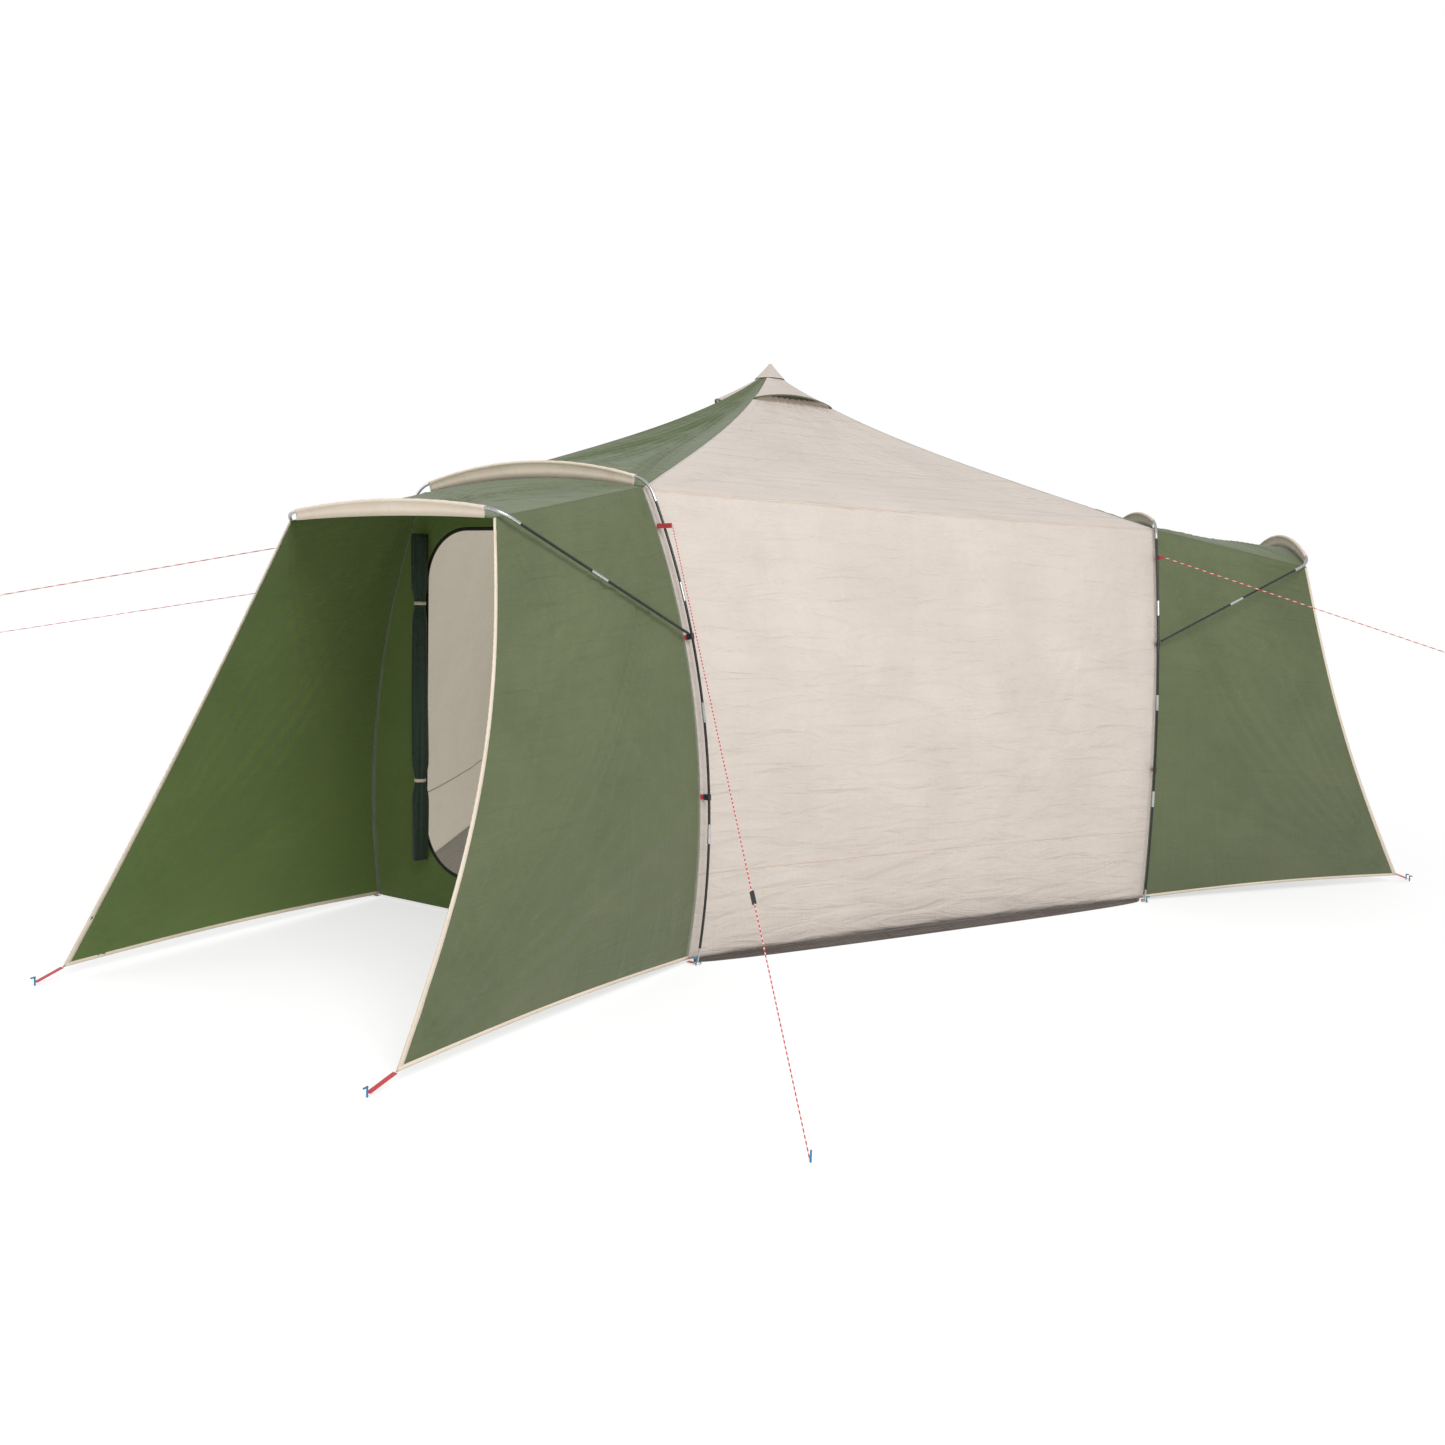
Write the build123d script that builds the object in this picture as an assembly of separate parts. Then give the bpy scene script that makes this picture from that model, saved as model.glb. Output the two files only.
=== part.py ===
"""Three-armed family tent: a centre pole, three arch poles, three porch hoops and their fabric.

Millimetres, +Z up. The origin is on the ground under the centre pole, and the front porch faces -Y.
Each arm has its own local frame at the middle of its arch pole's feet: x outward from the tent,
y to the left of outward and z up.
"""
from build123d import *
from math import asin, atan2, cos, degrees, hypot, pi, radians, sin, sqrt
import os

# ---- driving dimensions -----------------------------------------------------------------------
ARCH_REACH = 2138.0      # centre pole to the plane of each arch pole
FOOT_HALF = 955.0        # half the distance between an arch pole's feet
ELBOW_HALF = 650.0       # half the distance between an arch pole's elbows
ELBOW_Z = 1985.0         # height of an arch pole's elbows
CROWN_RISE = 95.0        # rise of the crown above the elbows
POST_BOW = 155.0         # outward bow of a post between its foot and its elbow
APEX_Z = 2884.0          # top of the centre pole

HOOP_REACH = 818.0       # arch plane to hoop plane
HOOP_HALF = 575.0        # half the distance between a hoop's elbows
HOOP_Z = 1801.0          # height of a hoop's elbows
HOOP_PIN_Z = 1357.0      # height at which a hoop is pinned to the posts
STAKE_REACH = 1600.0     # arch plane to the wing's pegged corner
STAKE_HALF = 885.0       # half the distance between the pegged corners of an open porch
STAKE_CLOSED = 75.0      # the same for a porch whose wings are drawn together
CORNER_Z = 42.0          # height of the wing's pegged corner

# name, heading in degrees, turn of the arch about its own middle, rise of the hoop, half corner gap
ARMS = [
    ("front", -90.0, 0.0, 43.0, STAKE_HALF),
    ("right", 30.0, -5.7, 170.0, STAKE_CLOSED),
    ("left", 150.0, 0.0, 43.0, STAKE_HALF),
]

ROD_R = 5.5              # fibreglass pole section
FERRULE_R = 6.8
FERRULE_LENGTH = 80.0
FERRULE_Z = (554.0, 1049.0, 1534.0)
ELBOW_TUBE_R = 6.8       # bent steel tube at each corner of a pole
ELBOW_LEG = 95.0
BUTT_GAP = 0.3           # play where a rod ends in an elbow
TIP_R = 4.0
TIP_LENGTH = 60.0
TIP_CLEAR = 12.0         # steel tip's end above the ground

FABRIC = 0.8             # thickness given to every sheet of cloth
SEAM_TRIM = 0.45         # each sheet stops this short of its seam line
ROOF_TRIM = 0.9          # the same along the sagging roof seams
SEAM_STEPS = 12          # flat strips along a post's seam or a crown
POST_INSET = 50.0        # rod axis to the seam beside it
ELBOW_INSET = 28.0
HOOP_INSET = 28.0
BAND_DROP = 40.0         # how much flatter a crown's seam is than its pole
HEM_Z = 14.0             # hem above the ground at the foot of a post
SEAM_SAG = 100.0         # sag of the roof seams between elbow and peak
WALL_SAG = 90.0          # how far a side wall is drawn in, half way along
GORE_SAG = 60.0
VENT_START = 0.165       # part of a roof seam, from the peak, that the vent takes
WING_BACK = 75.0         # bow of a wing's front edge towards the tent
WING_OUT = 72.0          # bow of a wing's front edge away from the porch
HOOD_LIFT = 62.0         # rise of a vent hood's free edge over the mesh

DOOR_HALF = 590.0
DOOR_SILL = 180.0
DOOR_TOP = 1790.0
DOOR_CORNER = 240.0
DOOR_ROLL_R = 42.0

SLEEVE_CLEAR = 0.5
BAND_GAP = 0.3
CAP_R = 88.0             # small cap over the pole's top
CAP_RIM_Z = 2794.2

POLE_R = 12.5            # lower tube of the centre pole
POLE_WALL = 1.2
POLE_CLEAR = 0.4
POLE_LOWER_TOP = 1500.0
POLE_UPPER_FOOT = 700.0
POLE_DOME_H = 35.5
POLE_TIP_GAP = 4.5
POLE_FOOT_R = 24.0
POLE_FOOT_H = 40.0
COLLAR_R = 21.0
COLLAR_H = 46.0
COLLAR_LEVER = 46.0

MUD_FLAP = 85.0
CLIP_Z = (705.0, 1357.0)
CLIP_CLEAR = 0.4
RING_R = 16.0
RING_WIRE = 2.0
PEG_R = 3.0
PEG_HEAD = 11.0
WEBBING = 20.0
WEBBING_T = 1.6

ROPE_R = 1.9
SLIDER = (46.0, 14.0, 7.0)
SLIDER_CLEAR = 0.6
ROPE_START_Z = 1800.0
ROPE_START_X = 22.0
ROPE_START_Y = 790.0

ZIP_PULL = (2.6, 9.0, 34.0)
ZIP_PULL_CLEAR = 0.4
ZIP_PULL_Z = 440.0

# free ropes: arm, side of the arm, far end in the tent's frame
ROPES = [
    ("front", 1, (2158.0, -3458.0, 2.5)),
    ("front", -1, (-2176.0, -3298.0, 1419.0)),
    ("right", -1, (3539.0, 736.0, 1342.0)),
    ("left", 1, (-3721.0, -2498.0, 1186.0)),
]
PARTS = {}


# ---- helpers ----------------------------------------------------------------------------------
def arm_named(name):
    """Heading, turn, hoop rise and half corner gap of one arm."""
    return next(arm[1:] for arm in ARMS if arm[0] == name)


def arm_location(name):
    """Location of an arm's local frame in the tent's frame."""
    heading, turn = arm_named(name)[:2]
    middle = (ARCH_REACH * cos(radians(heading)), ARCH_REACH * sin(radians(heading)), 0)
    return Location(middle, (0, 0, heading + turn))


def world(name, x, y, z):
    """A point of an arm's local frame, in the tent's frame."""
    return (arm_location(name) * Location((x, y, z))).position


def lerp(a, b, t):
    """Point a part t of the way from a to b."""
    return Vector(a) + (Vector(b) - Vector(a)) * t


def add(node, *solids):
    """Put solids in a node."""
    PARTS.setdefault(node, []).extend(solids)


def add_local(node, arm, *solids):
    """Put solids that were made in an arm's local frame in a node."""
    add(node, *[arm_location(arm) * solid for solid in solids])


class Arc:
    """Circular arc in a plane of constant x, from (y, z) to (y, z), bowed to the left of travel."""

    def __init__(self, start, end, bow, x=0.0):
        chord = hypot(end[0] - start[0], end[1] - start[1])
        self.radius = chord * chord / (8 * bow) + bow / 2
        along = ((end[0] - start[0]) / chord, (end[1] - start[1]) / chord)
        left = (-along[1], along[0])
        middle = ((start[0] + end[0]) / 2, (start[1] + end[1]) / 2)
        back = self.radius - bow
        self.centre = (middle[0] - left[0] * back, middle[1] - left[1] * back)
        self.first = atan2(start[1] - self.centre[1], start[0] - self.centre[0])
        turn = 2 * asin(chord / (2 * self.radius))
        self.turn = -turn
        self.length = self.radius * turn
        self.x = x

    def at(self, t, offset=0.0):
        """Point at part t of the arc, moved outward by offset."""
        angle = self.first + self.turn * t
        reach = self.radius + offset
        return Vector(self.x, self.centre[0] + reach * cos(angle), self.centre[1] + reach * sin(angle))

    def part_at_z(self, z):
        """Part of the arc that is at height z, on its first rising stretch."""
        low, high = 0.0, 1.0
        rising = self.at(1).Z > self.at(0).Z
        for _ in range(50):
            middle = (low + high) / 2
            if (self.at(middle).Z < z) == rising:
                low = middle
            else:
                high = middle
        return low

    def swept(self, profile, start, end):
        """Solid of a profile, given about the rod axis, swept from part start to part end."""
        angle = self.first + self.turn * start
        plane = Plane(
            origin=(self.x, self.centre[0] + self.radius * cos(angle), self.centre[1] + self.radius * sin(angle)),
            x_dir=(0, cos(angle), sin(angle)),
            z_dir=(0, sin(angle) * -1, cos(angle)),
        )
        axis = Axis((self.x, self.centre[0], self.centre[1]), (-1, 0, 0))
        return revolve(plane * profile, axis, degrees(abs(self.turn) * (end - start))).solid()


def straight(start, end, radius, inner=0.0):
    """Round bar or tube between two points."""
    start, end = Vector(start), Vector(end)
    plane = Plane(origin=start, z_dir=(end - start).normalized())
    profile = Circle(radius) - Circle(inner) if inner else Circle(radius)
    return extrude(plane * profile, (end - start).length).solid()


def triangle(a, b, c):
    """Flat triangular face."""
    return Face(Wire.make_polygon([a, b, c], close=True))


def cloth(surface, columns, rows, thickness=FABRIC):
    """Closed solid of a sheet of cloth whose middle is surface(s, t), with s and t from 0 to 1."""
    grid = [[Vector(*surface(i / columns, j / rows)) for j in range(rows + 1)] for i in range(columns + 1)]

    def normal(i, j):
        across = grid[min(i + 1, columns)][j] - grid[max(i - 1, 0)][j]
        up = grid[i][min(j + 1, rows)] - grid[i][max(j - 1, 0)]
        return across.cross(up).normalized() * (thickness / 2)

    outer = [[grid[i][j] + normal(i, j) for j in range(rows + 1)] for i in range(columns + 1)]
    inner = [[grid[i][j] - normal(i, j) for j in range(rows + 1)] for i in range(columns + 1)]
    faces = []
    for i in range(columns):
        for j in range(rows):
            for side in (outer, inner):
                a, b, c, d = side[i][j], side[i + 1][j], side[i + 1][j + 1], side[i][j + 1]
                faces += [triangle(a, b, c), triangle(a, c, d)]
    rim = [(i, 0) for i in range(columns)] + [(columns, j) for j in range(rows)]
    rim += [(i, rows) for i in range(columns, 0, -1)] + [(0, j) for j in range(rows, 0, -1)]
    for (i, j), (k, m) in zip(rim, rim[1:] + rim[:1]):
        faces += [triangle(outer[i][j], inner[i][j], inner[k][m]), triangle(outer[i][j], inner[k][m], outer[k][m])]
    return Solid(Shell(faces))


def trimmed(start, end, t, trim=SEAM_TRIM):
    """Point at part t from start to end, on a line that is cut short by trim at both ends."""
    length = (Vector(end) - Vector(start)).length
    return lerp(start, end, (trim + (length - 2 * trim) * t) / length)


# ---- lines that the cloth and the poles share -----------------------------------------------------
def post_arc(side, inset=0.0, x=0.0):
    """Arc of a post from its foot to its elbow, or of the seam at a distance inside it."""
    foot = (side * (FOOT_HALF - inset), 0.0)
    elbow_in = inset * ELBOW_INSET / POST_INSET
    elbow = (side * (ELBOW_HALF - elbow_in), ELBOW_Z - elbow_in)
    return Arc(foot, elbow, POST_BOW, x) if side < 0 else Arc(elbow, foot, POST_BOW, x)


def post_point(side, z, inset=0.0):
    """Local point of a post, or of the seam inside it, at height z."""
    arc = post_arc(side, inset)
    return arc.at(arc.part_at_z(z))


def crown_arc(inset=0.0, drop=0.0):
    """Arc of an arch pole's crown, or of the flatter seam under it."""
    half, height = ELBOW_HALF - inset, ELBOW_Z - inset
    return Arc((-half, height), (half, height), CROWN_RISE - drop)


def hoop_arc(rise, inset=0.0, drop=0.0):
    """Arc of a hoop's crown, or of the flatter seam under it."""
    half, height = HOOP_HALF - inset, HOOP_Z - inset
    return Arc((-half, height), (half, height), rise - drop, HOOP_REACH)


def crown_seam():
    """Seam of the roof cloth under an arch pole's crown."""
    return crown_arc(ELBOW_INSET, BAND_DROP)


def hoop_seam(rise):
    """Seam of the porch roof under a hoop's crown."""
    return hoop_arc(rise, HOOP_INSET, BAND_DROP * 0.75)


def seam_beside(side, z):
    """Post point at height z, the unit vector out of the post's curve, and the distance in to the seam."""
    arc, seam = post_arc(side), post_arc(side, POST_INSET)
    post = arc.at(arc.part_at_z(z))
    outward = (arc.at(arc.part_at_z(z), 1.0) - post).normalized()
    to_centre = Vector(0, *seam.centre) - post
    half = -(to_centre.dot(outward))
    distance = half - sqrt(half * half - to_centre.length ** 2 + seam.radius ** 2)
    return post, outward, abs(distance)


def post_seam(side, t):
    """Seam beside a post: t is 0 at the hem and 1 at the elbow."""
    foot, top = post_point(side, HEM_Z, POST_INSET), post_point(side, ELBOW_Z - ELBOW_INSET - 0.01, POST_INSET)
    return post_point(side, foot.Z + (top.Z - foot.Z) * t, POST_INSET)


def peak():
    """Point where the roof seams meet."""
    return Vector(0, 0, APEX_Z - 14)


def roof_seam(arm, side, s):
    """Roof seam of an arm: s is 0 at the peak and 1 at the elbow, and the seam sags between them."""
    elbow = world(arm, *post_seam(side, 1))
    straight_point = lerp(peak(), elbow, s)
    return straight_point - Vector(0, 0, SEAM_SAG * sin(pi * s ** 0.6))


# ---- poles --------------------------------------------------------------------------------------
def arch_poles(arm):
    """Arch pole: fibreglass sections, ferrules, two steel elbows and two steel tips."""
    rod, sleeve = Circle(ROD_R), Circle(FERRULE_R)
    ends = {}
    for side in (-1, 1):
        arc = post_arc(side)
        half = FERRULE_LENGTH / 2 / arc.length
        foot_part, leg = arc.part_at_z(TIP_CLEAR + TIP_LENGTH), ELBOW_LEG / arc.length
        joints = [arc.part_at_z(z) for z in FERRULE_Z]
        if side < 0:
            cuts = [foot_part] + [cut for j in joints for cut in (j - half, j + half)] + [1 - leg]
            ends[side] = arc.at(1 - leg)
        else:
            cuts = [leg] + [cut for j in reversed(joints) for cut in (j - half, j + half)] + [foot_part]
            ends[side] = arc.at(leg)
        for k, (a, b) in enumerate(zip(cuts, cuts[1:])):
            if k % 2 == 0:
                add_local(f"arch_rods_{arm}", arm, arc.swept(rod, a, b))
            else:
                add_local("pole_ferrules", arm, arc.swept(sleeve, a, b))
        foot_arc = (arc.part_at_z(TIP_CLEAR), foot_part) if side < 0 else (foot_part, arc.part_at_z(TIP_CLEAR))
        add_local("pole_steel_ends", arm, arc.swept(Circle(TIP_R), *foot_arc))
    arc = crown_arc()
    leg, half = ELBOW_LEG / arc.length, FERRULE_LENGTH / 2 / arc.length
    cuts = [leg, 0.5 - half, 0.5 + half, 1 - leg]
    add_local(f"arch_rods_{arm}", arm, arc.swept(rod, cuts[0], cuts[1]), arc.swept(rod, cuts[2], cuts[3]))
    add_local("pole_ferrules", arm, arc.swept(sleeve, cuts[1], cuts[2]))
    for side, part in ((-1, leg), (1, 1 - leg)):
        corner = Vector(0, side * ELBOW_HALF, ELBOW_Z)
        add_local("pole_steel_ends", arm, elbow_tube(ends[side], corner, arc.at(part)))


def elbow_tube(start, corner, end):
    """Bent steel tube between two rod ends."""
    start, corner, end = Vector(start), Vector(corner), Vector(end)
    start += (corner - start).normalized() * BUTT_GAP
    end += (corner - end).normalized() * BUTT_GAP
    turn = radians((corner - start).get_angle(end - corner))
    reach = min((corner - start).length, (end - corner).length)
    path = FilletPolyline(start, corner, end, radius=0.6 * reach / max(0.05, (turn / 2)))
    plane = Plane(origin=start, z_dir=path % 0)
    return sweep(plane * Circle(ELBOW_TUBE_R), path=path).solid()


def hoop_poles(arm, rise):
    """Porch hoop: two straight legs that are pinned to the posts, two elbows and a crown."""
    rod, sleeve = Circle(ROD_R), Circle(FERRULE_R)
    arc = hoop_arc(rise)
    leg, half = ELBOW_LEG / arc.length, FERRULE_LENGTH / 2 / arc.length
    cuts = [leg, 0.5 - half, 0.5 + half, 1 - leg]
    add_local(f"hoop_rods_{arm}", arm, arc.swept(rod, cuts[0], cuts[1]), arc.swept(rod, cuts[2], cuts[3]))
    add_local("pole_ferrules", arm, arc.swept(sleeve, cuts[1], cuts[2]))
    for side, part in ((-1, leg), (1, 1 - leg)):
        corner = Vector(HOOP_REACH, side * HOOP_HALF, HOOP_Z)
        pin = hoop_pin(side)
        run = (corner - pin).length
        low = lerp(pin, corner, (run / 2 - FERRULE_LENGTH / 2) / run)
        high = lerp(pin, corner, (run / 2 + FERRULE_LENGTH / 2) / run)
        leg_end = lerp(pin, corner, (run - ELBOW_LEG) / run)
        add_local(f"hoop_rods_{arm}", arm, straight(pin, low, ROD_R), straight(high, leg_end, ROD_R))
        add_local("pole_ferrules", arm, straight(low, high, FERRULE_R))
        add_local("pole_steel_ends", arm, elbow_tube(leg_end, corner, arc.at(part)))


def hoop_pin(side):
    """Lower end of a hoop's leg, beside the post."""
    post = post_point(side, HOOP_PIN_Z)
    corner = Vector(HOOP_REACH, side * HOOP_HALF, HOOP_Z)
    return post + (corner - post).normalized() * (2 * ROD_R + 9)


def centre_pole():
    """Telescopic steel pole with a cam collar, a rubber foot and a domed top."""
    inner = POLE_R - POLE_WALL
    add("pole_foot", Pos(0, 0, FABRIC) * extrude(Circle(POLE_FOOT_R), POLE_FOOT_H, taper=8).solid())
    floor = FABRIC + POLE_FOOT_H
    add("centre_pole_lower", straight((0, 0, floor), (0, 0, POLE_LOWER_TOP), POLE_R, inner))
    upper_r = inner - POLE_CLEAR
    shoulder = APEX_Z - POLE_DOME_H - POLE_TIP_GAP
    upper = straight((0, 0, POLE_UPPER_FOOT), (0, 0, shoulder), upper_r, upper_r - POLE_WALL)
    dome = Pos(0, 0, shoulder) * extrude(Circle(upper_r), POLE_DOME_H, taper=6).solid()
    add("centre_pole_upper", (upper + dome).solid())
    ring = Circle(COLLAR_R) - Circle(POLE_R + POLE_CLEAR)
    lever = Pos(COLLAR_R + COLLAR_LEVER / 2 - 4, 0) * Rectangle(COLLAR_LEVER, 12)
    body = Pos(0, 0, POLE_LOWER_TOP - COLLAR_H) * extrude(ring, COLLAR_H)
    arm = Pos(0, 0, POLE_LOWER_TOP - COLLAR_H) * extrude(lever - Circle(COLLAR_R - 2), COLLAR_H * 0.6)
    add("pole_lock_collar", (body + arm).solid())


# ---- cloth --------------------------------------------------------------------------------------
def wall_outline(trim):
    """Face of an arch's wall, in the arch plane as (y, z), cut short of its seams by trim."""
    right = [post_seam(1, k / SEAM_STEPS) for k in range(SEAM_STEPS + 1)]
    top = [crown_seam().at(1 - k / SEAM_STEPS) for k in range(1, SEAM_STEPS)]
    points = [(p.Y, p.Z) for p in right] + [(p.Y, p.Z) for p in top]
    points += [(-p.Y, p.Z) for p in reversed(right)]
    outline = Face(Wire.make_polygon([Vector(y, z) for y, z in points], close=True))
    return offset(outline, -trim, kind=Kind.INTERSECTION)


def door_outline():
    """Face of a doorway as (y, z)."""
    shape = Pos(0, (DOOR_SILL + DOOR_TOP) / 2) * RectangleRounded(
        2 * DOOR_HALF, DOOR_TOP - DOOR_SILL, DOOR_CORNER)
    return shape


def upright(sketch, thickness=FABRIC, x=0.0):
    """Sheet in a plane of constant x from a (y, z) sketch."""
    plane = Plane(origin=(x - thickness / 2, 0, 0), x_dir=(0, 1, 0), z_dir=(1, 0, 0))
    return [solid for solid in extrude(plane * sketch, thickness).solids()]


def end_walls(arm):
    """Wall in the arch plane with its doorway, and the door, rolled up or closed."""
    add_local(f"end_wall_{arm}", arm, *upright(wall_outline(SEAM_TRIM + FABRIC / 2) - door_outline()))
    if arm == "front":
        roll_x, roll_y = FABRIC / 2 + DOOR_ROLL_R + 0.4, -DOOR_HALF - 4
        bottom, top = DOOR_SILL + DOOR_CORNER * 0.25, DOOR_TOP - 20
        add_local("door_front", arm, straight((roll_x, roll_y, bottom), (roll_x, roll_y, top), DOOR_ROLL_R))
    else:
        add_local(f"door_{arm}", arm, *upright(offset(door_outline(), -2 * SEAM_TRIM)))


def zip_pull(arm):
    """Pull of a door's zip, at the lower end of the straight run beside the door."""
    thick, wide, high = ZIP_PULL
    front = FABRIC / 2 + ZIP_PULL_CLEAR
    body = Box(thick, wide, high) - Pos(0, 0, -high / 4) * Rot(0, 90, 0) * Cylinder(wide / 4, thick)
    add_local(f"zip_pull_{arm}", arm, Pos(front + thick / 2, DOOR_HALF + wide / 2, ZIP_PULL_Z) * body.solid())


def wing_corner(side, half):
    """Lower front corner of a porch wing."""
    return Vector(STAKE_REACH, side * half, CORNER_Z)


def hoop_corner(side):
    """Upper front corner of a porch wing, just inside the hoop's elbow."""
    return Vector(HOOP_REACH, side * (HOOP_HALF - HOOP_INSET), HOOP_Z - HOOP_INSET)


def wing_front(side, half, t):
    """Front edge of a wing from its pegged corner, t = 0, to the hoop."""
    bow = sin(pi * t)
    return lerp(wing_corner(side, half), hoop_corner(side), t) + Vector(-WING_BACK * bow, side * WING_OUT * bow, 0)


def wings(arm, half):
    """Two porch walls from the posts to their pegged corners."""
    for side in (-1, 1):
        def surface(s, t, side=side):
            back, front = post_seam(side, t), wing_front(side, half, t)
            point = trimmed(back, front, s)
            return (point.X, point.Y, point.Z - SEAM_TRIM * t)
        add_local(f"wings_{arm}", arm, cloth(surface, 8, SEAM_STEPS))


def porch_roof(arm, rise):
    """Roof of the porch between the arch's crown and the hoop's crown."""
    back, front = crown_seam(), hoop_seam(rise)

    def surface(s, t):
        edge = SEAM_TRIM / 600 + (1 - SEAM_TRIM / 300) * t
        point = trimmed(back.at(edge), front.at(edge), s)
        return tuple(point)
    add_local(f"porch_roof_{arm}", arm, cloth(surface, 6, SEAM_STEPS))


def roof_gore(arm):
    """Roof panel from an arch's crown to the peak."""
    crown = crown_seam()

    def surface(s, t):
        low = world(arm, *crown.at(t))
        left, right = roof_seam(arm, -1, s), roof_seam(arm, 1, s)
        level = trimmed(left, right, t, ROOF_TRIM)
        rise = (low.Z - world(arm, *crown.at(0)).Z) * s
        sag = GORE_SAG * sin(pi * s) * sin(pi * t)
        return (level.X, level.Y, level.Z + rise - sag)
    start = VENT_START / 5

    def cut_surface(s, t):
        end = 1 - SEAM_TRIM / 2000
        return surface(start + (end - start) * s, t)
    add(f"roof_gore_{arm}", cloth(cut_surface, 14, SEAM_STEPS))


def next_arm(arm):
    """Arm on the left of an arm, looking outward: its near posts share a side wall."""
    names = [entry[0] for entry in ARMS]
    return names[(names.index(arm) + 1) % len(names)]


def side_edges(arm, t):
    """Both ends of a side wall's line at height part t."""
    other = next_arm(arm)
    return world(arm, *post_seam(1, t)), world(other, *post_seam(-1, t))


def inward(a, b):
    """Level unit vector from the middle of a wall's line to the tent's axis."""
    middle = (a + b) * 0.5
    return Vector(-middle.X, -middle.Y, 0).normalized()


def side_wall(arm):
    """Side wall between the posts of two arms, drawn in half way along."""
    def surface(s, t):
        a, b = side_edges(arm, t * (1 - SEAM_TRIM / ELBOW_Z))
        sag = WALL_SAG * (0.35 + 0.65 * t) * sin(pi * s)
        return tuple(trimmed(a, b, s) + inward(a, b) * sag)
    add(f"side_wall_{arm}", cloth(surface, 14, SEAM_STEPS))


def upper_panel_line(arm, s):
    """Both ends of an upper side panel's line, s from 0 at the peak to 1 at the elbows."""
    return roof_seam(arm, 1, s), roof_seam(next_arm(arm), -1, s)


def panel_point(arm, t, s, trim=ROOF_TRIM):
    """Point of an upper side panel: t runs along the line, s is 0 at the peak and 1 at the elbows."""
    a, b = upper_panel_line(arm, s)
    return trimmed(a, b, t, trim) + inward(a, b) * WALL_SAG * s * sin(pi * t)


def side_panel(arm):
    """Upper side panel between two roof seams, from the elbows up to the vent."""
    def surface(t, u):
        s = 1 - SEAM_TRIM / 2000 - (1 - SEAM_TRIM / 2000 - VENT_START) * u
        return tuple(panel_point(arm, t, s))
    add(f"side_panel_{arm}", cloth(surface, 14, 10))


def vent(arm):
    """Mesh panel above an upper side panel, and the hood over it."""
    top = VENT_START / 5

    def mesh(t, u):
        s = VENT_START - 0.001 - (VENT_START - 0.001 - top) * u
        return tuple(panel_point(arm, t, s))
    add("vent_mesh", cloth(mesh, 8, 5))

    def hood(t, u):
        s = VENT_START * 1.06 - (VENT_START * 1.06 - top) * u
        a, b = upper_panel_line(arm, s)
        lift = 2.0 + HOOD_LIFT * sin(pi * t) * (1 - u) ** 0.7
        out = inward(a, b) * -0.8 + Vector(0, 0, 0.6)
        return tuple(panel_point(arm, t, s, 3.0) + out * lift)
    add("vent_hoods", cloth(hood, 12, 6))


def apex_cap():
    """Small sewn cap over the pole's top, where all the panels meet."""
    height = APEX_Z - CAP_RIM_Z
    outer = Cone(CAP_R, POLE_R - 4, height)
    inner = Pos(0, 0, -FABRIC * 2) * Cone(CAP_R, POLE_R - 4, height)
    add("apex_cap", Pos(0, 0, APEX_Z - height / 2) * (outer - inner).solid())


def sleeves(arm, rise):
    """Sleeve with a hanging band, on the arch's crown and on the hoop's crown."""
    inner = FERRULE_R + SLEEVE_CLEAR
    for arc, seam in ((crown_arc(), crown_seam()), (hoop_arc(rise), hoop_seam(rise))):
        leg = ELBOW_LEG / arc.length
        ring = Circle(inner + FABRIC) - Circle(inner)
        add_local(f"pole_sleeves_{arm}", arm, arc.swept(ring, leg, 1 - leg))

        def band(s, t, arc=arc, seam=seam, leg=leg):
            part = leg + (1 - 2 * leg) * s
            top = arc.at(part, -inner - FABRIC - BAND_GAP)
            low = seam.at(part)
            return tuple(lerp(top, low + Vector(0, 0, 2 * SEAM_TRIM), t))
        add_local(f"pole_sleeves_{arm}", arm, cloth(band, SEAM_STEPS, 2))


def groundsheet():
    """Floor that follows the six feet of the walls."""
    points = []
    for name, *_ in ARMS:
        for side in (-1, 1):
            foot = post_seam(side, 0)
            points.append(world(name, foot.X, foot.Y, 0))
    outline = Face(Wire.make_polygon([Vector(p.X, p.Y, 0) for p in points], close=True))
    add("groundsheet", extrude(offset(outline, -WALL_SAG * 0.4), FABRIC).solid())


def mud_flap(arm):
    """Strip that lies on the ground outside a side wall."""
    def surface(s, t):
        a, b = side_edges(arm, 0)
        a, b = Vector(a.X, a.Y, 0), Vector(b.X, b.Y, 0)
        line = trimmed(a, b, 0.01 + 0.98 * s) + inward(a, b) * WALL_SAG * 0.35 * sin(pi * s)
        rise = HEM_Z * (1 - t)
        point = line - inward(a, b) * (2 + MUD_FLAP * t * sin(pi * s) ** 0.5)
        return (point.X, point.Y, FABRIC / 2 + rise)
    add("mud_flaps", cloth(surface, 14, 3))


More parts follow.
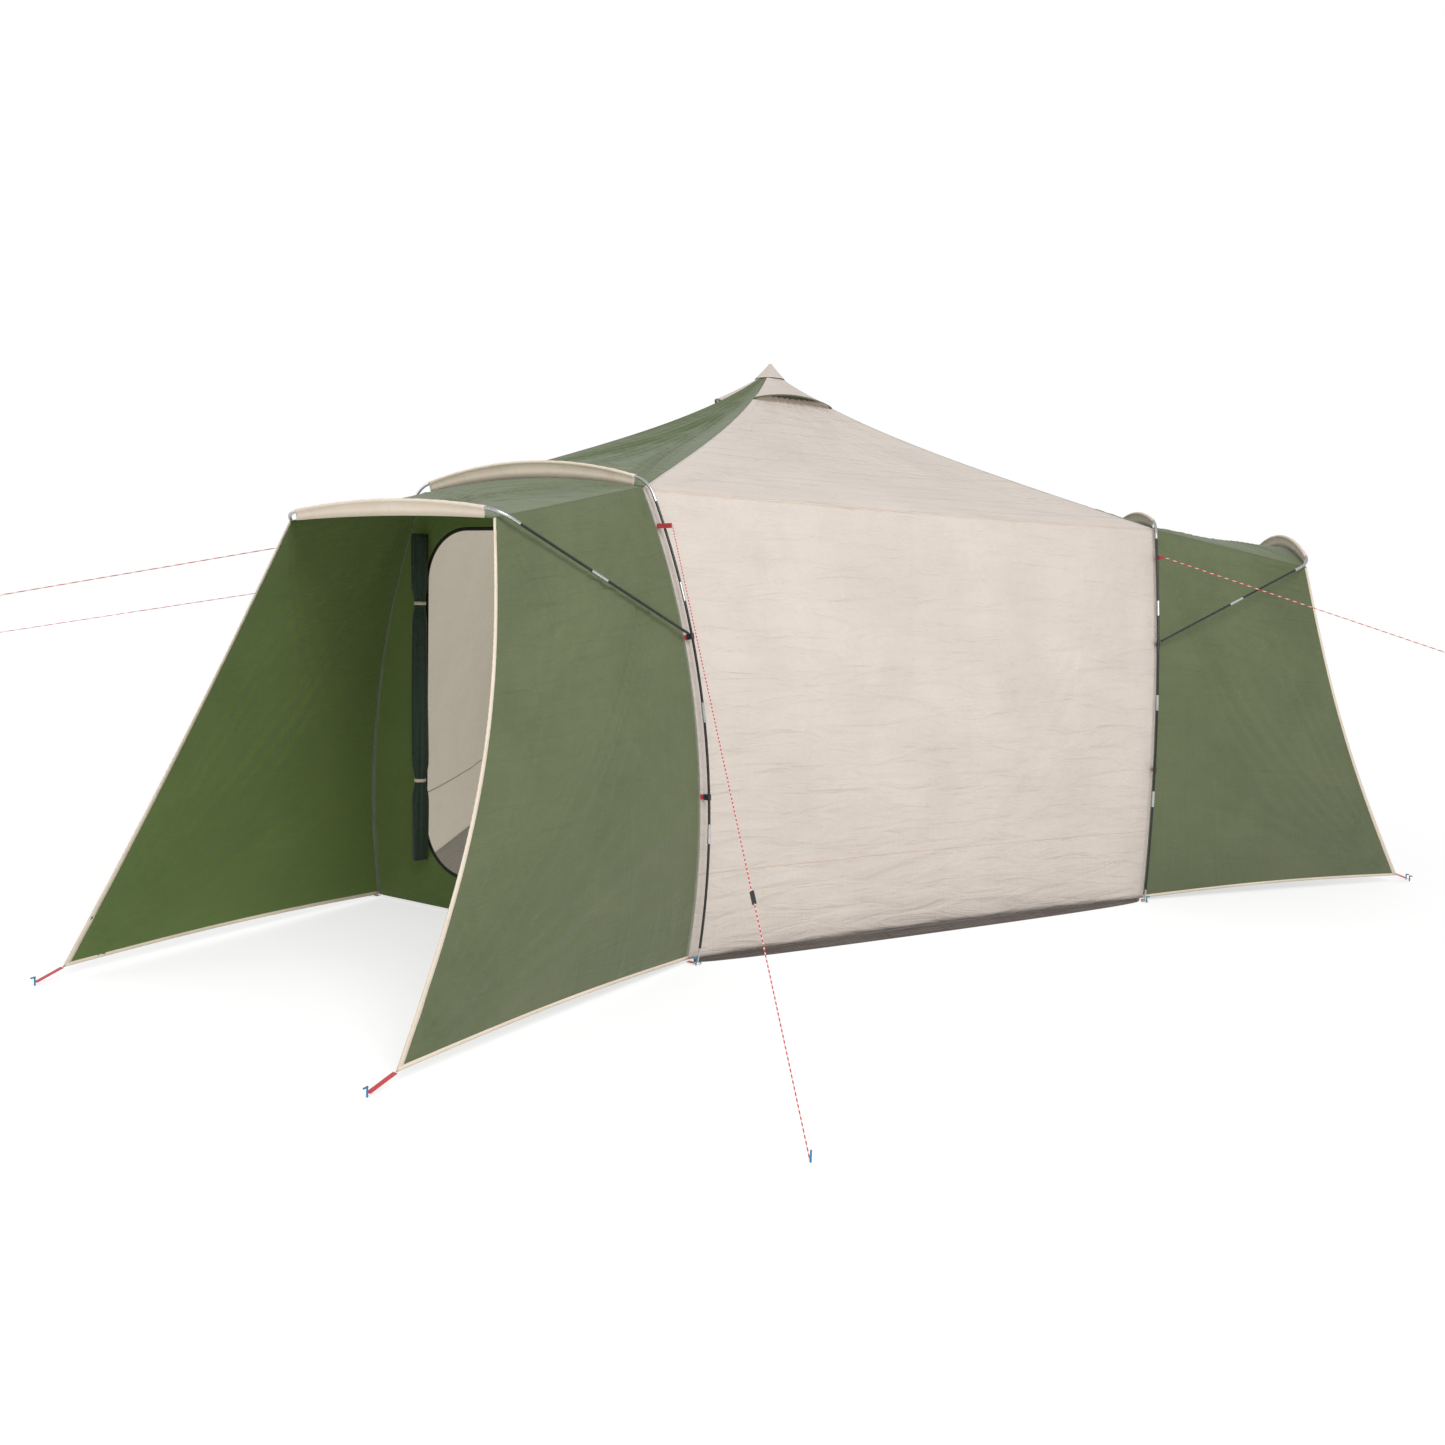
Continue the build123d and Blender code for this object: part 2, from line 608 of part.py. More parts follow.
# ---- fittings -----------------------------------------------------------------------------------
def clips(arm):
    """Plastic clips that hold the posts, each on a tab of webbing from the seam."""
    for side in (-1, 1):
        for z in CLIP_Z:
            post, outward, inset = seam_beside(side, z)
            plane = Plane(origin=post, x_dir=outward, z_dir=outward.cross(Vector(1, 0, 0)))
            ring = Circle(ROD_R + CLIP_CLEAR + 2.6) - Circle(ROD_R + CLIP_CLEAR)
            tail = Pos(-ROD_R - 10.5, 0) * Rectangle(18, 5) - Circle(ROD_R + CLIP_CLEAR + 1)
            clip = extrude(plane * (ring + tail), 12, both=True).solid()
            add_local("pole_clips", arm, clip)
            tab_start = -inset + 2.0
            tab_end = -ROD_R - 19.5 - CLIP_CLEAR
            tab = Pos((tab_start + tab_end) / 2, 0) * Rectangle(tab_end - tab_start, WEBBING_T)
            add_local("clip_webbing", arm, extrude(plane * tab, WEBBING / 2, both=True).solid())


def feet(arm, half):
    """Ring, webbing and peg at each foot and at each pegged corner."""
    for side in (-1, 1):
        foot = post_arc(side).at(post_arc(side).part_at_z(1.0))
        seam = post_seam(side, 0)
        loop_start = Vector(1.5, seam.Y + side * 1.5, 6)
        loop_end = Vector(1.5, foot.Y - side * (RING_R + 2), 6)
        strap = Box((loop_end - loop_start).length, WEBBING, WEBBING_T)
        middle = (loop_start + loop_end) * 0.5
        add_local("peg_loops", arm, (Pos(middle.X, middle.Y, 6) * Rot(0, 0, 90) * strap).solid())
        ring = Pos(foot.X, foot.Y, 6) * Torus(RING_R, RING_WIRE)
        add_local("foot_rings", arm, ring.solid())
        peg(arm, Vector(foot.X + RING_R - RING_WIRE - PEG_R - 0.4, foot.Y, 0))
        corner = wing_corner(side, half)
        toward = (corner - Vector(0, side * FOOT_HALF, CORNER_Z)).normalized()
        start = corner + toward * 1.5
        end = Vector(corner.X, corner.Y, 12) + toward * 105
        tab = Box((end - start).length, WEBBING, WEBBING_T)
        angle = degrees(atan2(toward.Y, toward.X))
        tilt = degrees(asin((start.Z - end.Z) / (end - start).length))
        middle = (start + end) * 0.5
        add_local("peg_loops", arm, (Pos(*middle) * Rot(0, 0, angle) * Rot(0, tilt, 0) * tab).solid())
        stake = end + toward * (PEG_R + 0.4)
        peg(arm, Vector(stake.X, stake.Y, 0))


def peg(arm, foot):
    """Steel peg from the ground up, with a bent head."""
    shaft = Pos(foot.X, foot.Y, PEG_HEAD + 6) * Cylinder(PEG_R, 2 * (PEG_HEAD + 6))
    head = Pos(foot.X + 6, foot.Y, 2 * (PEG_HEAD + 6) - PEG_R) * Rot(0, 90, 0) * Cylinder(PEG_R, 18)
    add_local("pegs", arm, (shaft + head).solid())


def rope_start(arm, side):
    """Point where a guy rope leaves its tab on the tent."""
    return world(arm, ROPE_START_X, side * ROPE_START_Y, ROPE_START_Z)


def ropes():
    """Guy ropes, each a taut straight run from a sewn tab, with the slider on the pegged one."""
    for index, (arm, side, end) in enumerate(ROPES):
        start, end = rope_start(arm, side), Vector(*end)
        along = (end - start).normalized()
        add(f"guy_rope_{index + 1}", straight(start, end, ROPE_R))
        knot = Pos(*(end + along * 7.3)) * Sphere(7.0)
        seam = world(arm, *post_point(side, ROPE_START_Z, POST_INSET))
        tab_along = (start - seam).normalized()
        tab_plane = Plane(origin=seam + tab_along * 6, x_dir=tab_along, z_dir=(0, 0, 1))
        length = (start - seam).length - 10
        tab = Pos(length / 2, 0) * Rectangle(length, WEBBING_T)
        add("guy_tabs", extrude(tab_plane * tab, WEBBING / 2, both=True).solid())
        if index == 0:
            level = Vector(along.X, along.Y, 0).normalized() * (PEG_R + ROPE_R + 1.2)
            add("guy_peg", (Pos(end.X + level.X, end.Y + level.Y, 17) * Cylinder(PEG_R, 34)).solid())
            slide_at = start + along * (end - start).length * 0.68
            plane = Plane(origin=slide_at, z_dir=along)
            plate = Rectangle(SLIDER[1], SLIDER[2]) - Circle(ROPE_R + SLIDER_CLEAR)
            add("guy_slider", extrude(plane * plate, SLIDER[0] / 2, both=True).solid())
            print("slider at", [round(v, 2) for v in slide_at], "along", [round(v, 5) for v in along])
        else:
            add("guy_knots", knot.solid())
        print("rope", index + 1, "length", round((end - start).length, 1))


def build():
    """Make every node."""
    centre_pole()
    groundsheet()
    apex_cap()
    for arm, _, _, rise, half in ARMS:
        arch_poles(arm)
        hoop_poles(arm, rise)
        end_walls(arm)
        zip_pull(arm)
        wings(arm, half)
        porch_roof(arm, rise)
        roof_gore(arm)
        side_wall(arm)
        side_panel(arm)
        vent(arm)
        sleeves(arm, rise)
        mud_flap(arm)
        clips(arm)
        feet(arm, half)
    ropes()


build()
os.makedirs("parts", exist_ok=True)
for node, solids in PARTS.items():
    export_step(solids[0] if len(solids) == 1 else Compound(children=solids), f"parts/{node}.step")
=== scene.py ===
"""Looks of the three-armed family tent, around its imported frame. Metres, +Z up, front porch towards -Y."""
from math import asin, atan2, cos, exp, hypot, pi, radians, sin

import bpy
from mathutils import Euler, Matrix, Vector, noise


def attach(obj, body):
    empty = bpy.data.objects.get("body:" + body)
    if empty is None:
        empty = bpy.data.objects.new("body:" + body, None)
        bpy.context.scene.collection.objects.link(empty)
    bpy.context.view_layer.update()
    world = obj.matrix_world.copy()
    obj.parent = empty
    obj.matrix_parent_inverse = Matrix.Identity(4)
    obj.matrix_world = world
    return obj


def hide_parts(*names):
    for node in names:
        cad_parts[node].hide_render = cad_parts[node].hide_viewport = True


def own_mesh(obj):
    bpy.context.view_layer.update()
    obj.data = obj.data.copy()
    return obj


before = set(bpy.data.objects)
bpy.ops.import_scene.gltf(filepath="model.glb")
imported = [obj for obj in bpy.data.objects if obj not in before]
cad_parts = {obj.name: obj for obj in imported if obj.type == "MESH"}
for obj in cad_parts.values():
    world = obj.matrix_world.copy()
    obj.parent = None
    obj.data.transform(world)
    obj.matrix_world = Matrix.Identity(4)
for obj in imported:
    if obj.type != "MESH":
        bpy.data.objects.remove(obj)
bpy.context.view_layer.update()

# ---- sizes that the cloth shares with the frame ---------------------------------------------------
ARCH_REACH = 2.138
FOOT_HALF, ELBOW_HALF, ELBOW_Z = 0.955, 0.650, 1.985
CROWN_RISE, POST_BOW, APEX_Z = 0.095, 0.155, 2.884
HOOP_REACH, HOOP_HALF, HOOP_Z = 0.818, 0.575, 1.801
STAKE_REACH, CORNER_Z = 1.600, 0.042
POST_INSET, ELBOW_INSET, HOOP_INSET = 0.050, 0.028, 0.028
BAND_DROP, HEM_Z = 0.040, 0.014
SEAM_SAG, WALL_SAG, GORE_SAG = 0.100, 0.090, 0.060
VENT_START, GATHER_START, HOOD_LIFT = 0.165, 0.138, 0.062
WING_BACK, WING_OUT = 0.075, 0.072
DOOR_HALF, DOOR_SILL, DOOR_TOP, DOOR_CORNER, DOOR_ROLL_R = 0.590, 0.180, 1.790, 0.240, 0.042
SLEEVE_R, ELBOW_LEG, MUD_FLAP = 0.0077, 0.095, 0.085
FLOOR_EDGE = 0.034
CLOTH = 0.0010
SEAM_GAP = 0.0006
TAPE = 0.016
ROPE_D = 0.0038

# name, heading in degrees, turn of the arch, rise of the hoop, half gap between the pegged corners
ARMS = [
    ("front", -90.0, 0.0, 0.043, 0.885),
    ("right", 30.0, -5.7, 0.170, 0.075),
    ("left", 150.0, 0.0, 0.043, 0.885),
]
ARM = {entry[0]: entry[1:] for entry in ARMS}
NEXT = {"front": "right", "right": "left", "left": "front"}


# ---- lines of the tent ------------------------------------------------------------------------------
def place(arm):
    """Matrix from an arm's local frame to the tent's."""
    heading, turn = radians(ARM[arm][0]), radians(ARM[arm][0] + ARM[arm][1])
    middle = Vector((ARCH_REACH * cos(heading), ARCH_REACH * sin(heading), 0))
    return Matrix.Translation(middle) @ Matrix.Rotation(turn, 4, "Z")


PLACE = {name: place(name) for name in ARM}


class Arc:
    """Circular arc in a plane of constant x, from (y, z) to (y, z), bowed to the left of travel."""

    def __init__(self, start, end, bow, x=0.0):
        chord = hypot(end[0] - start[0], end[1] - start[1])
        self.radius = chord * chord / (8 * bow) + bow / 2
        left = (-(end[1] - start[1]) / chord, (end[0] - start[0]) / chord)
        back = self.radius - bow
        self.centre = ((start[0] + end[0]) / 2 - left[0] * back, (start[1] + end[1]) / 2 - left[1] * back)
        self.first = atan2(start[1] - self.centre[1], start[0] - self.centre[0])
        self.turn = -2 * asin(chord / (2 * self.radius))
        self.length = -self.radius * self.turn
        self.x = x

    def at(self, t, offset=0.0):
        angle = self.first + self.turn * t
        reach = self.radius + offset
        return Vector((self.x, self.centre[0] + reach * cos(angle), self.centre[1] + reach * sin(angle)))


def post_arc(side, inset=0.0):
    """Post from its foot to its elbow, or the seam at a distance inside it, as an arc that rises."""
    inner = inset * ELBOW_INSET / POST_INSET
    foot, elbow = (FOOT_HALF - inset, 0.0), (ELBOW_HALF - inner, ELBOW_Z - inner)
    arc = Arc((-foot[0], foot[1]), (-elbow[0], elbow[1]), POST_BOW)
    return arc


def on_post(side, z, inset=0.0):
    """Local point at height z of a post or of its seam."""
    arc = post_arc(side, inset)
    angle = asin((z - arc.centre[1]) / arc.radius)
    return Vector((0, -side * (arc.centre[0] - arc.radius * cos(angle)), z))


def post_seam(side, t):
    """Seam beside a post: t is 0 at the hem and 1 at the elbow."""
    top = ELBOW_Z - ELBOW_INSET
    return on_post(side, HEM_Z + (top - HEM_Z) * t, POST_INSET)


def crown_arc(inset=0.0, drop=0.0):
    half, height = ELBOW_HALF - inset, ELBOW_Z - inset
    return Arc((-half, height), (half, height), CROWN_RISE - drop)


def hoop_arc(rise, inset=0.0, drop=0.0):
    half, height = HOOP_HALF - inset, HOOP_Z - inset
    return Arc((-half, height), (half, height), rise - drop, HOOP_REACH)


CROWN_SEAM = crown_arc(ELBOW_INSET, BAND_DROP)


def hoop_seam(rise):
    return hoop_arc(rise, HOOP_INSET, BAND_DROP * 0.75)


PEAK = Vector((0, 0, APEX_Z - 0.014))
ELBOWS = {(arm, side): PLACE[arm] @ post_seam(side, 1) for arm in ARM for side in (-1, 1)}


def roof_seam(arm, side, s):
    """Roof seam of an arm: s is 0 at the peak and 1 at the elbow."""
    return PEAK.lerp(ELBOWS[arm, side], s) - Vector((0, 0, SEAM_SAG * sin(pi * max(s, 0) ** 0.6)))


def cut(a, b, t, trim=SEAM_GAP):
    """Point at part t of a line from a to b that stops short of both ends by trim."""
    length = (b - a).length
    return a.lerp(b, (trim + (length - 2 * trim) * t) / length)


def inward(a, b):
    middle = (a + b) / 2
    return Vector((-middle.x, -middle.y, 0)).normalized()


def side_line(arm, t):
    """Ends of a side wall's line at height part t."""
    return PLACE[arm] @ post_seam(1, t), PLACE[NEXT[arm]] @ post_seam(-1, t)


def wall_surface(arm):
    def surface(s, t):
        a, b = side_line(arm, t)
        return cut(a, b, s) + inward(a, b) * WALL_SAG * (0.35 + 0.65 * t) * sin(pi * s)
    return surface


def panel_surface(arm, start=GATHER_START):
    """Upper side panel: u along the line, v from the elbows, 0, to the gathered edge below the vent, 1."""
    def surface(u, v):
        s = 1 - (1 - start) * v
        a, b = roof_seam(arm, 1, s), roof_seam(NEXT[arm], -1, s)
        gather = 0.006 * cos(2 * pi * 11 * u) * exp(-((1 - v) / 0.06)) * sin(pi * u)
        return cut(a, b, u) + inward(a, b) * (WALL_SAG * s * sin(pi * u) + gather)
    return surface


def gore_surface(arm, start=VENT_START / 5):
    """Roof gore: u from the left seam to the right one, v from the crown, 0, to the peak, 1."""
    base = CROWN_SEAM.at(0).z

    def surface(u, v):
        s = 1 - (1 - start) * v
        left, right = roof_seam(arm, -1, s), roof_seam(arm, 1, s)
        point = cut(left, right, u)
        rise = (CROWN_SEAM.at(u).z - base) * s
        return point + Vector((0, 0, rise - GORE_SAG * sin(pi * s) * sin(pi * u)))
    return surface


def wing_surface(arm, side):
    """Porch wing: u from the post's seam to the front edge, v from the hem to the roof."""
    half = ARM[arm][3]

    def surface(u, v):
        bow = sin(pi * v)
        low = Vector((STAKE_REACH, side * half, CORNER_Z))
        high = Vector((HOOP_REACH, side * (HOOP_HALF - HOOP_INSET), HOOP_Z - HOOP_INSET))
        front = low.lerp(high, v) + Vector((-WING_BACK * bow, side * WING_OUT * bow, 0))
        point = cut(post_seam(side, v), front, u)
        hem = 0.018 * sin(pi * u) * (1 - v) ** 3
        return PLACE[arm] @ (point + Vector((0, 0, hem)))
    return surface


def porch_surface(arm):
    """Porch roof: u along the crowns, v from the arch to the hoop."""
    front = hoop_seam(ARM[arm][2])

    def surface(u, v):
        point = cut(CROWN_SEAM.at(u), front.at(u), v)
        return PLACE[arm] @ (point - Vector((0, 0, 0.016 * sin(pi * v) * sin(pi * u))))
    return surface


# ---- materials --------------------------------------------------------------------------------------
def new_material(name):
    material = bpy.data.materials.new(name)
    material.use_nodes = True
    tree = material.node_tree
    shader = tree.nodes["Principled BSDF"]
    return material, tree, shader


def link(tree, a, b):
    tree.links.new(a, b)


def noise_node(tree, coords, scale, detail=3.0, rough=0.5, distortion=0.0):
    node = tree.nodes.new("ShaderNodeTexNoise")
    node.inputs["Scale"].default_value = scale
    node.inputs["Detail"].default_value = detail
    node.inputs["Roughness"].default_value = rough
    node.inputs["Distortion"].default_value = distortion
    link(tree, coords, node.inputs["Vector"])
    return node


def mapped(tree, coords, scale, rotation=(0, 0, 0)):
    node = tree.nodes.new("ShaderNodeMapping")
    node.inputs["Scale"].default_value = scale
    node.inputs["Rotation"].default_value = rotation
    link(tree, coords, node.inputs["Vector"])
    return node.outputs["Vector"]


def bump_node(tree, height, strength, distance, normal=None):
    node = tree.nodes.new("ShaderNodeBump")
    node.inputs["Strength"].default_value = strength
    node.inputs["Distance"].default_value = distance
    link(tree, height, node.inputs["Height"])
    if normal is not None:
        link(tree, normal, node.inputs["Normal"])
    return node.outputs["Normal"]


def ramp_node(tree, factor, colours, stops=(0.3, 0.7)):
    node = tree.nodes.new("ShaderNodeValToRGB")
    for element, colour, stop in zip(node.color_ramp.elements, colours, stops):
        element.color = (*colour, 1)
        element.position = stop
    link(tree, factor, node.inputs["Fac"])
    return node.outputs["Color"]


def cloth_material(name, dark, light, rough=0.62, sheen=0.25, crease=0.35, weave=900.0, glow=0.0):
    """Coated taffeta: two close tones, a fine weave, and creases that run across and along the cloth; a glow, when
    given, is painted light shining through the cloth, an emission in the lighter tone.
    """
    material, tree, shader = new_material(name)
    coords = tree.nodes.new("ShaderNodeTexCoord").outputs["UV"]
    tone = noise_node(tree, coords, 2.2, 5.0, 0.6, 0.4)
    link(tree, ramp_node(tree, tone.outputs["Fac"], (dark, light)), shader.inputs["Base Color"])
    long_folds = noise_node(tree, mapped(tree, coords, (1.0, 5.0, 1.0), (0, 0, 0.5)), 2.6, 4.0, 0.55, 0.8)
    cross_folds = noise_node(tree, mapped(tree, coords, (6.0, 1.2, 1.0), (0, 0, -0.35)), 2.0, 4.0, 0.55, 0.6)
    warp = tree.nodes.new("ShaderNodeTexWave")
    warp.inputs["Scale"].default_value = weave
    link(tree, mapped(tree, coords, (1, 1, 1)), warp.inputs["Vector"])
    weft = tree.nodes.new("ShaderNodeTexWave")
    weft.bands_direction = "Y"
    weft.inputs["Scale"].default_value = weave
    link(tree, mapped(tree, coords, (1, 1, 1)), weft.inputs["Vector"])
    normal = bump_node(tree, warp.outputs["Fac"], 0.12, 0.0002)
    normal = bump_node(tree, weft.outputs["Fac"], 0.12, 0.0002, normal)
    normal = bump_node(tree, long_folds.outputs["Fac"], crease, 0.03, normal)
    normal = bump_node(tree, cross_folds.outputs["Fac"], crease * 0.6, 0.02, normal)
    link(tree, normal, shader.inputs["Normal"])
    shader.inputs["Roughness"].default_value = rough
    shader.inputs["Sheen Weight"].default_value = sheen
    shader.inputs["Sheen Roughness"].default_value = 0.45
    shader.inputs["Specular IOR Level"].default_value = 0.35
    # painted light: the glow makes the cloth shine in its lighter tone, as if lit through from the other side
    if glow:
        shader.inputs["Emission Color"].default_value = (*light, 1)
        shader.inputs["Emission Strength"].default_value = glow
    return material


def plain_material(name, dark, light, rough, metallic=0.0, scale=120.0, bump=0.1, distance=0.0004, stretch=(1, 1, 1)):
    """Metal, plastic or rubber with a fine grain in colour, roughness and surface."""
    material, tree, shader = new_material(name)
    coords = mapped(tree, tree.nodes.new("ShaderNodeTexCoord").outputs["Object"], stretch)
    grain = noise_node(tree, coords, scale, 4.0)
    link(tree, ramp_node(tree, grain.outputs["Fac"], (dark, light)), shader.inputs["Base Color"])
    rough_range = tree.nodes.new("ShaderNodeMapRange")
    rough_range.inputs["To Min"].default_value = max(0.05, rough - 0.1)
    rough_range.inputs["To Max"].default_value = rough + 0.1
    link(tree, grain.outputs["Fac"], rough_range.inputs["Value"])
    link(tree, rough_range.outputs["Result"], shader.inputs["Roughness"])
    link(tree, bump_node(tree, grain.outputs["Fac"], bump, distance), shader.inputs["Normal"])
    shader.inputs["Metallic"].default_value = metallic
    return material


def webbing_material(name, dark, light, ribs=260.0):
    """Woven tape with ribs across it."""
    material, tree, shader = new_material(name)
    coords = tree.nodes.new("ShaderNodeTexCoord").outputs["Object"]
    wave = tree.nodes.new("ShaderNodeTexWave")
    wave.inputs["Scale"].default_value = ribs
    wave.inputs["Distortion"].default_value = 0.6
    link(tree, coords, wave.inputs["Vector"])
    link(tree, ramp_node(tree, wave.outputs["Fac"], (dark, light), (0.1, 0.9)), shader.inputs["Base Color"])
    link(tree, bump_node(tree, wave.outputs["Fac"], 0.5, 0.0006), shader.inputs["Normal"])
    shader.inputs["Roughness"].default_value = 0.8
    shader.inputs["Sheen Weight"].default_value = 0.3
    return material


def rope_material(name):
    """Braided cord: red with a pale fleck that winds round it."""
    material, tree, shader = new_material(name)
    coords = tree.nodes.new("ShaderNodeTexCoord").outputs["Object"]
    wave = tree.nodes.new("ShaderNodeTexWave")
    wave.bands_direction = "Z"
    wave.inputs["Scale"].default_value = 26.0
    wave.inputs["Distortion"].default_value = 0.5
    link(tree, coords, wave.inputs["Vector"])
    colours = ((0.50, 0.012, 0.02), (0.80, 0.60, 0.58))
    link(tree, ramp_node(tree, wave.outputs["Fac"], colours, (0.62, 0.72)), shader.inputs["Base Color"])
    braid = noise_node(tree, coords, 900.0, 2.0)
    link(tree, bump_node(tree, braid.outputs["Fac"], 0.4, 0.0005), shader.inputs["Normal"])
    shader.inputs["Roughness"].default_value = 0.75
    return material


M = {
    "green": cloth_material("green_cloth", (0.088, 0.110, 0.049), (0.114, 0.136, 0.063), crease=0.5),
    # green_in: the inner face's more saturated tone and its glow are painted light shining through the green cloth
    "green_in": cloth_material("green_inside_painted_backlight", (0.062, 0.098, 0.022), (0.082, 0.122, 0.030), glow=0.22),
    "roof": cloth_material("roof_cloth", (0.076, 0.104, 0.038), (0.104, 0.136, 0.054)),
    "beige": cloth_material("beige_cloth", (0.545, 0.480, 0.430), (0.605, 0.540, 0.485), crease=0.65),
    # beige_in: the inner face's lighter tone and its glow are painted light shining through the beige cloth
    "beige_in": cloth_material("beige_inside_painted_backlight", (0.560, 0.510, 0.440), (0.640, 0.590, 0.510), crease=0.3, glow=0.45),
    "tape": cloth_material("tape_cloth", (0.640, 0.540, 0.430), (0.760, 0.660, 0.540), crease=0.2),
    "stitch": cloth_material("stitch_line", (0.590, 0.470, 0.390), (0.640, 0.530, 0.440), crease=0.1),
    # the vent mesh's glow is painted light coming through it; its dark tones are the mesh's own colour
    "mesh": cloth_material("mesh_cloth", (0.040, 0.044, 0.034), (0.090, 0.095, 0.075), sheen=0.1, glow=0.15),
    "door": cloth_material("door_cloth", (0.012, 0.028, 0.018), (0.028, 0.055, 0.034), crease=0.5),
    # the groundsheet's glow is painted light inside the tent; its grey tones are the groundsheet's own colour
    "floor": cloth_material("floor_cloth", (0.185, 0.172, 0.155), (0.235, 0.220, 0.200), crease=0.6, glow=0.35),
    "flap": cloth_material("flap_cloth", (0.060, 0.045, 0.038), (0.095, 0.075, 0.062), crease=0.6),
    "zip": plain_material("zip_tape", (0.010, 0.010, 0.010), (0.030, 0.030, 0.030), 0.6, 0.0, 700.0, 0.6),
    "rod": plain_material("fibreglass", (0.010, 0.010, 0.011), (0.022, 0.022, 0.024), 0.30, 0.0, 60.0, 0.05),
    "steel": plain_material("steel", (0.48, 0.48, 0.49), (0.66, 0.66, 0.67), 0.30, 1.0, 200.0, 0.08),
    "tube": plain_material("steel_tube", (0.42, 0.42, 0.43), (0.56, 0.56, 0.57), 0.38, 1.0, 90.0, 0.1),
    "rubber": plain_material("rubber", (0.012, 0.012, 0.012), (0.028, 0.028, 0.028), 0.8, 0.0, 300.0, 0.3),
    "plastic": plain_material("black_plastic", (0.014, 0.014, 0.015), (0.026, 0.026, 0.028), 0.45, 0.0, 400.0, 0.15),
    "peg": plain_material("peg_paint", (0.012, 0.160, 0.330), (0.022, 0.230, 0.430), 0.35, 0.2, 150.0, 0.1),
    "red": webbing_material("red_webbing", (0.42, 0.008, 0.016), (0.58, 0.016, 0.028)),
    "rope": rope_material("rope"),
}


# ---- mesh helpers -----------------------------------------------------------------------------------
def spread(count, start=0.0, end=1.0):
    return [start + (end - start) * k / count for k in range(count + 1)]


def finish_piece(obj, body, slot, *nodes):
    """Ride a piece on its body and let it stand for its CAD nodes; its slot is not used."""
    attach(obj, body)
    if nodes:
        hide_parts(*nodes)
    return obj


def grid_mesh(name, rows, materials, thickness=CLOTH, loop=False, sheet=True):
    """Object from rows of points, with UVs in metres along both ways, smooth, and given a thickness."""
    mesh = bpy.data.meshes.new(name)
    height, width = len(rows), len(rows[0])
    points = [p for row in rows for p in row]
    faces, uvs = [], []
    along = [0.0]
    for k in range(1, height):
        along.append(along[-1] + (rows[k][width // 2] - rows[k - 1][width // 2]).length)
    middle = rows[height // 2]
    across = [0.0]
    for k in range(1, width):
        across.append(across[-1] + (middle[k] - middle[k - 1]).length)
    last = width if loop else width - 1
    across.append(across[-1] + (middle[0] - middle[-1]).length)
    for j in range(height - 1):
        for i in range(last):
            n = (i + 1) % width
            faces.append((j * width + i, j * width + n, (j + 1) * width + n, (j + 1) * width + i))
            uvs += [(across[i], along[j]), (across[i + 1], along[j]), (across[i + 1], along[j + 1]),
                    (across[i], along[j + 1])]
    mesh.from_pydata(points, [], faces)
    layer = mesh.uv_layers.new(name="UVMap")
    for loop_index, uv in enumerate(uvs):
        layer.data[loop_index].uv = uv
    for polygon in mesh.polygons:
        polygon.use_smooth = True
    for material in materials:
        mesh.materials.append(M[material])
    obj = bpy.data.objects.new(name, mesh)
    bpy.context.scene.collection.objects.link(obj)
    obj["cloth_area"] = sum(polygon.area for polygon in mesh.polygons)
    if sheet:
        solid = obj.modifiers.new("thickness", "SOLIDIFY")
        solid.thickness = thickness
        solid.offset = 0.0
        solid.material_offset = len(materials) - 1
        solid.material_offset_rim = 0
    return obj


def ridges(x, y, lines):
    """Height of tension folds: each line is (x0, y0, x1, y1, height, wavelength, reach)."""
    total = 0.0
    for x0, y0, x1, y1, height, wave, reach in lines:
        run = hypot(x1 - x0, y1 - y0)
        part = ((x - x0) * (x1 - x0) + (y - y0) * (y1 - y0)) / (run * run)
        away = ((x - x0) * (y1 - y0) - (y - y0) * (x1 - x0)) / run
        if 0 < part < 1:
            ends = sin(pi * part ** 0.5) ** 0.8
            spreading = reach * (0.35 + part)
            total += height * ends * exp(-(away / spreading) ** 2) * cos(2 * pi * away / (wave * (0.5 + part)))
    return total


def folded(surface, us, vs, lines=(), size=(1.0, 1.0), wobble=0.004, seed=0.0, flip=1.0, pinned=0.08):
    """Rows of points of a surface, moved along its normal by folds that fade out at the seams."""
    rows = []
    step = 1e-3
    for v in vs:
        row = []
        for u in us:
            u0, v0 = min(u, 1 - step), min(v, 1 - step)
            point = surface(u, v)
            du = surface(u0 + step, v0) - surface(u0, v0)
            dv = surface(u0, v0 + step) - surface(u0, v0)
            normal = du.cross(dv).normalized() * flip
            x, y = u * size[0], v * size[1]
            edge = min(x, size[0] - x, y, size[1] - y) / pinned
            fade = min(1.0, max(0.0, edge))
            soft = noise.noise(Vector((x * 1.7, y * 1.1, seed))) + 0.5 * noise.noise(Vector((x * 4, y * 3, seed + 7)))
            row.append(point + normal * fade * (ridges(x, y, lines) + wobble * soft))
        rows.append(row)
    return rows


def sheet_piece(name, surface, us, vs, materials, slot, nodes, size, held="stretched", rests=(), **folds):
    """A sewn panel: its folded grid and thickness, with its cloth area stored on it."""
    obj = grid_mesh(name, folded(surface, us, vs, size=size, **folds), materials)
    finish_piece(obj, "root", slot, *nodes)
    area = obj["cloth_area"]
    width, length = size
    while area > width * length * 0.999:
        width, length = width * 1.02, length * 1.02
    while area < width * length * 0.40:
        width, length = width * 0.98, length * 0.98
    return obj


def lower_with_pole(*pieces):
    """Cloth above the elbows gets its own copy of its mesh data."""
    for piece in pieces:
        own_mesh(piece)


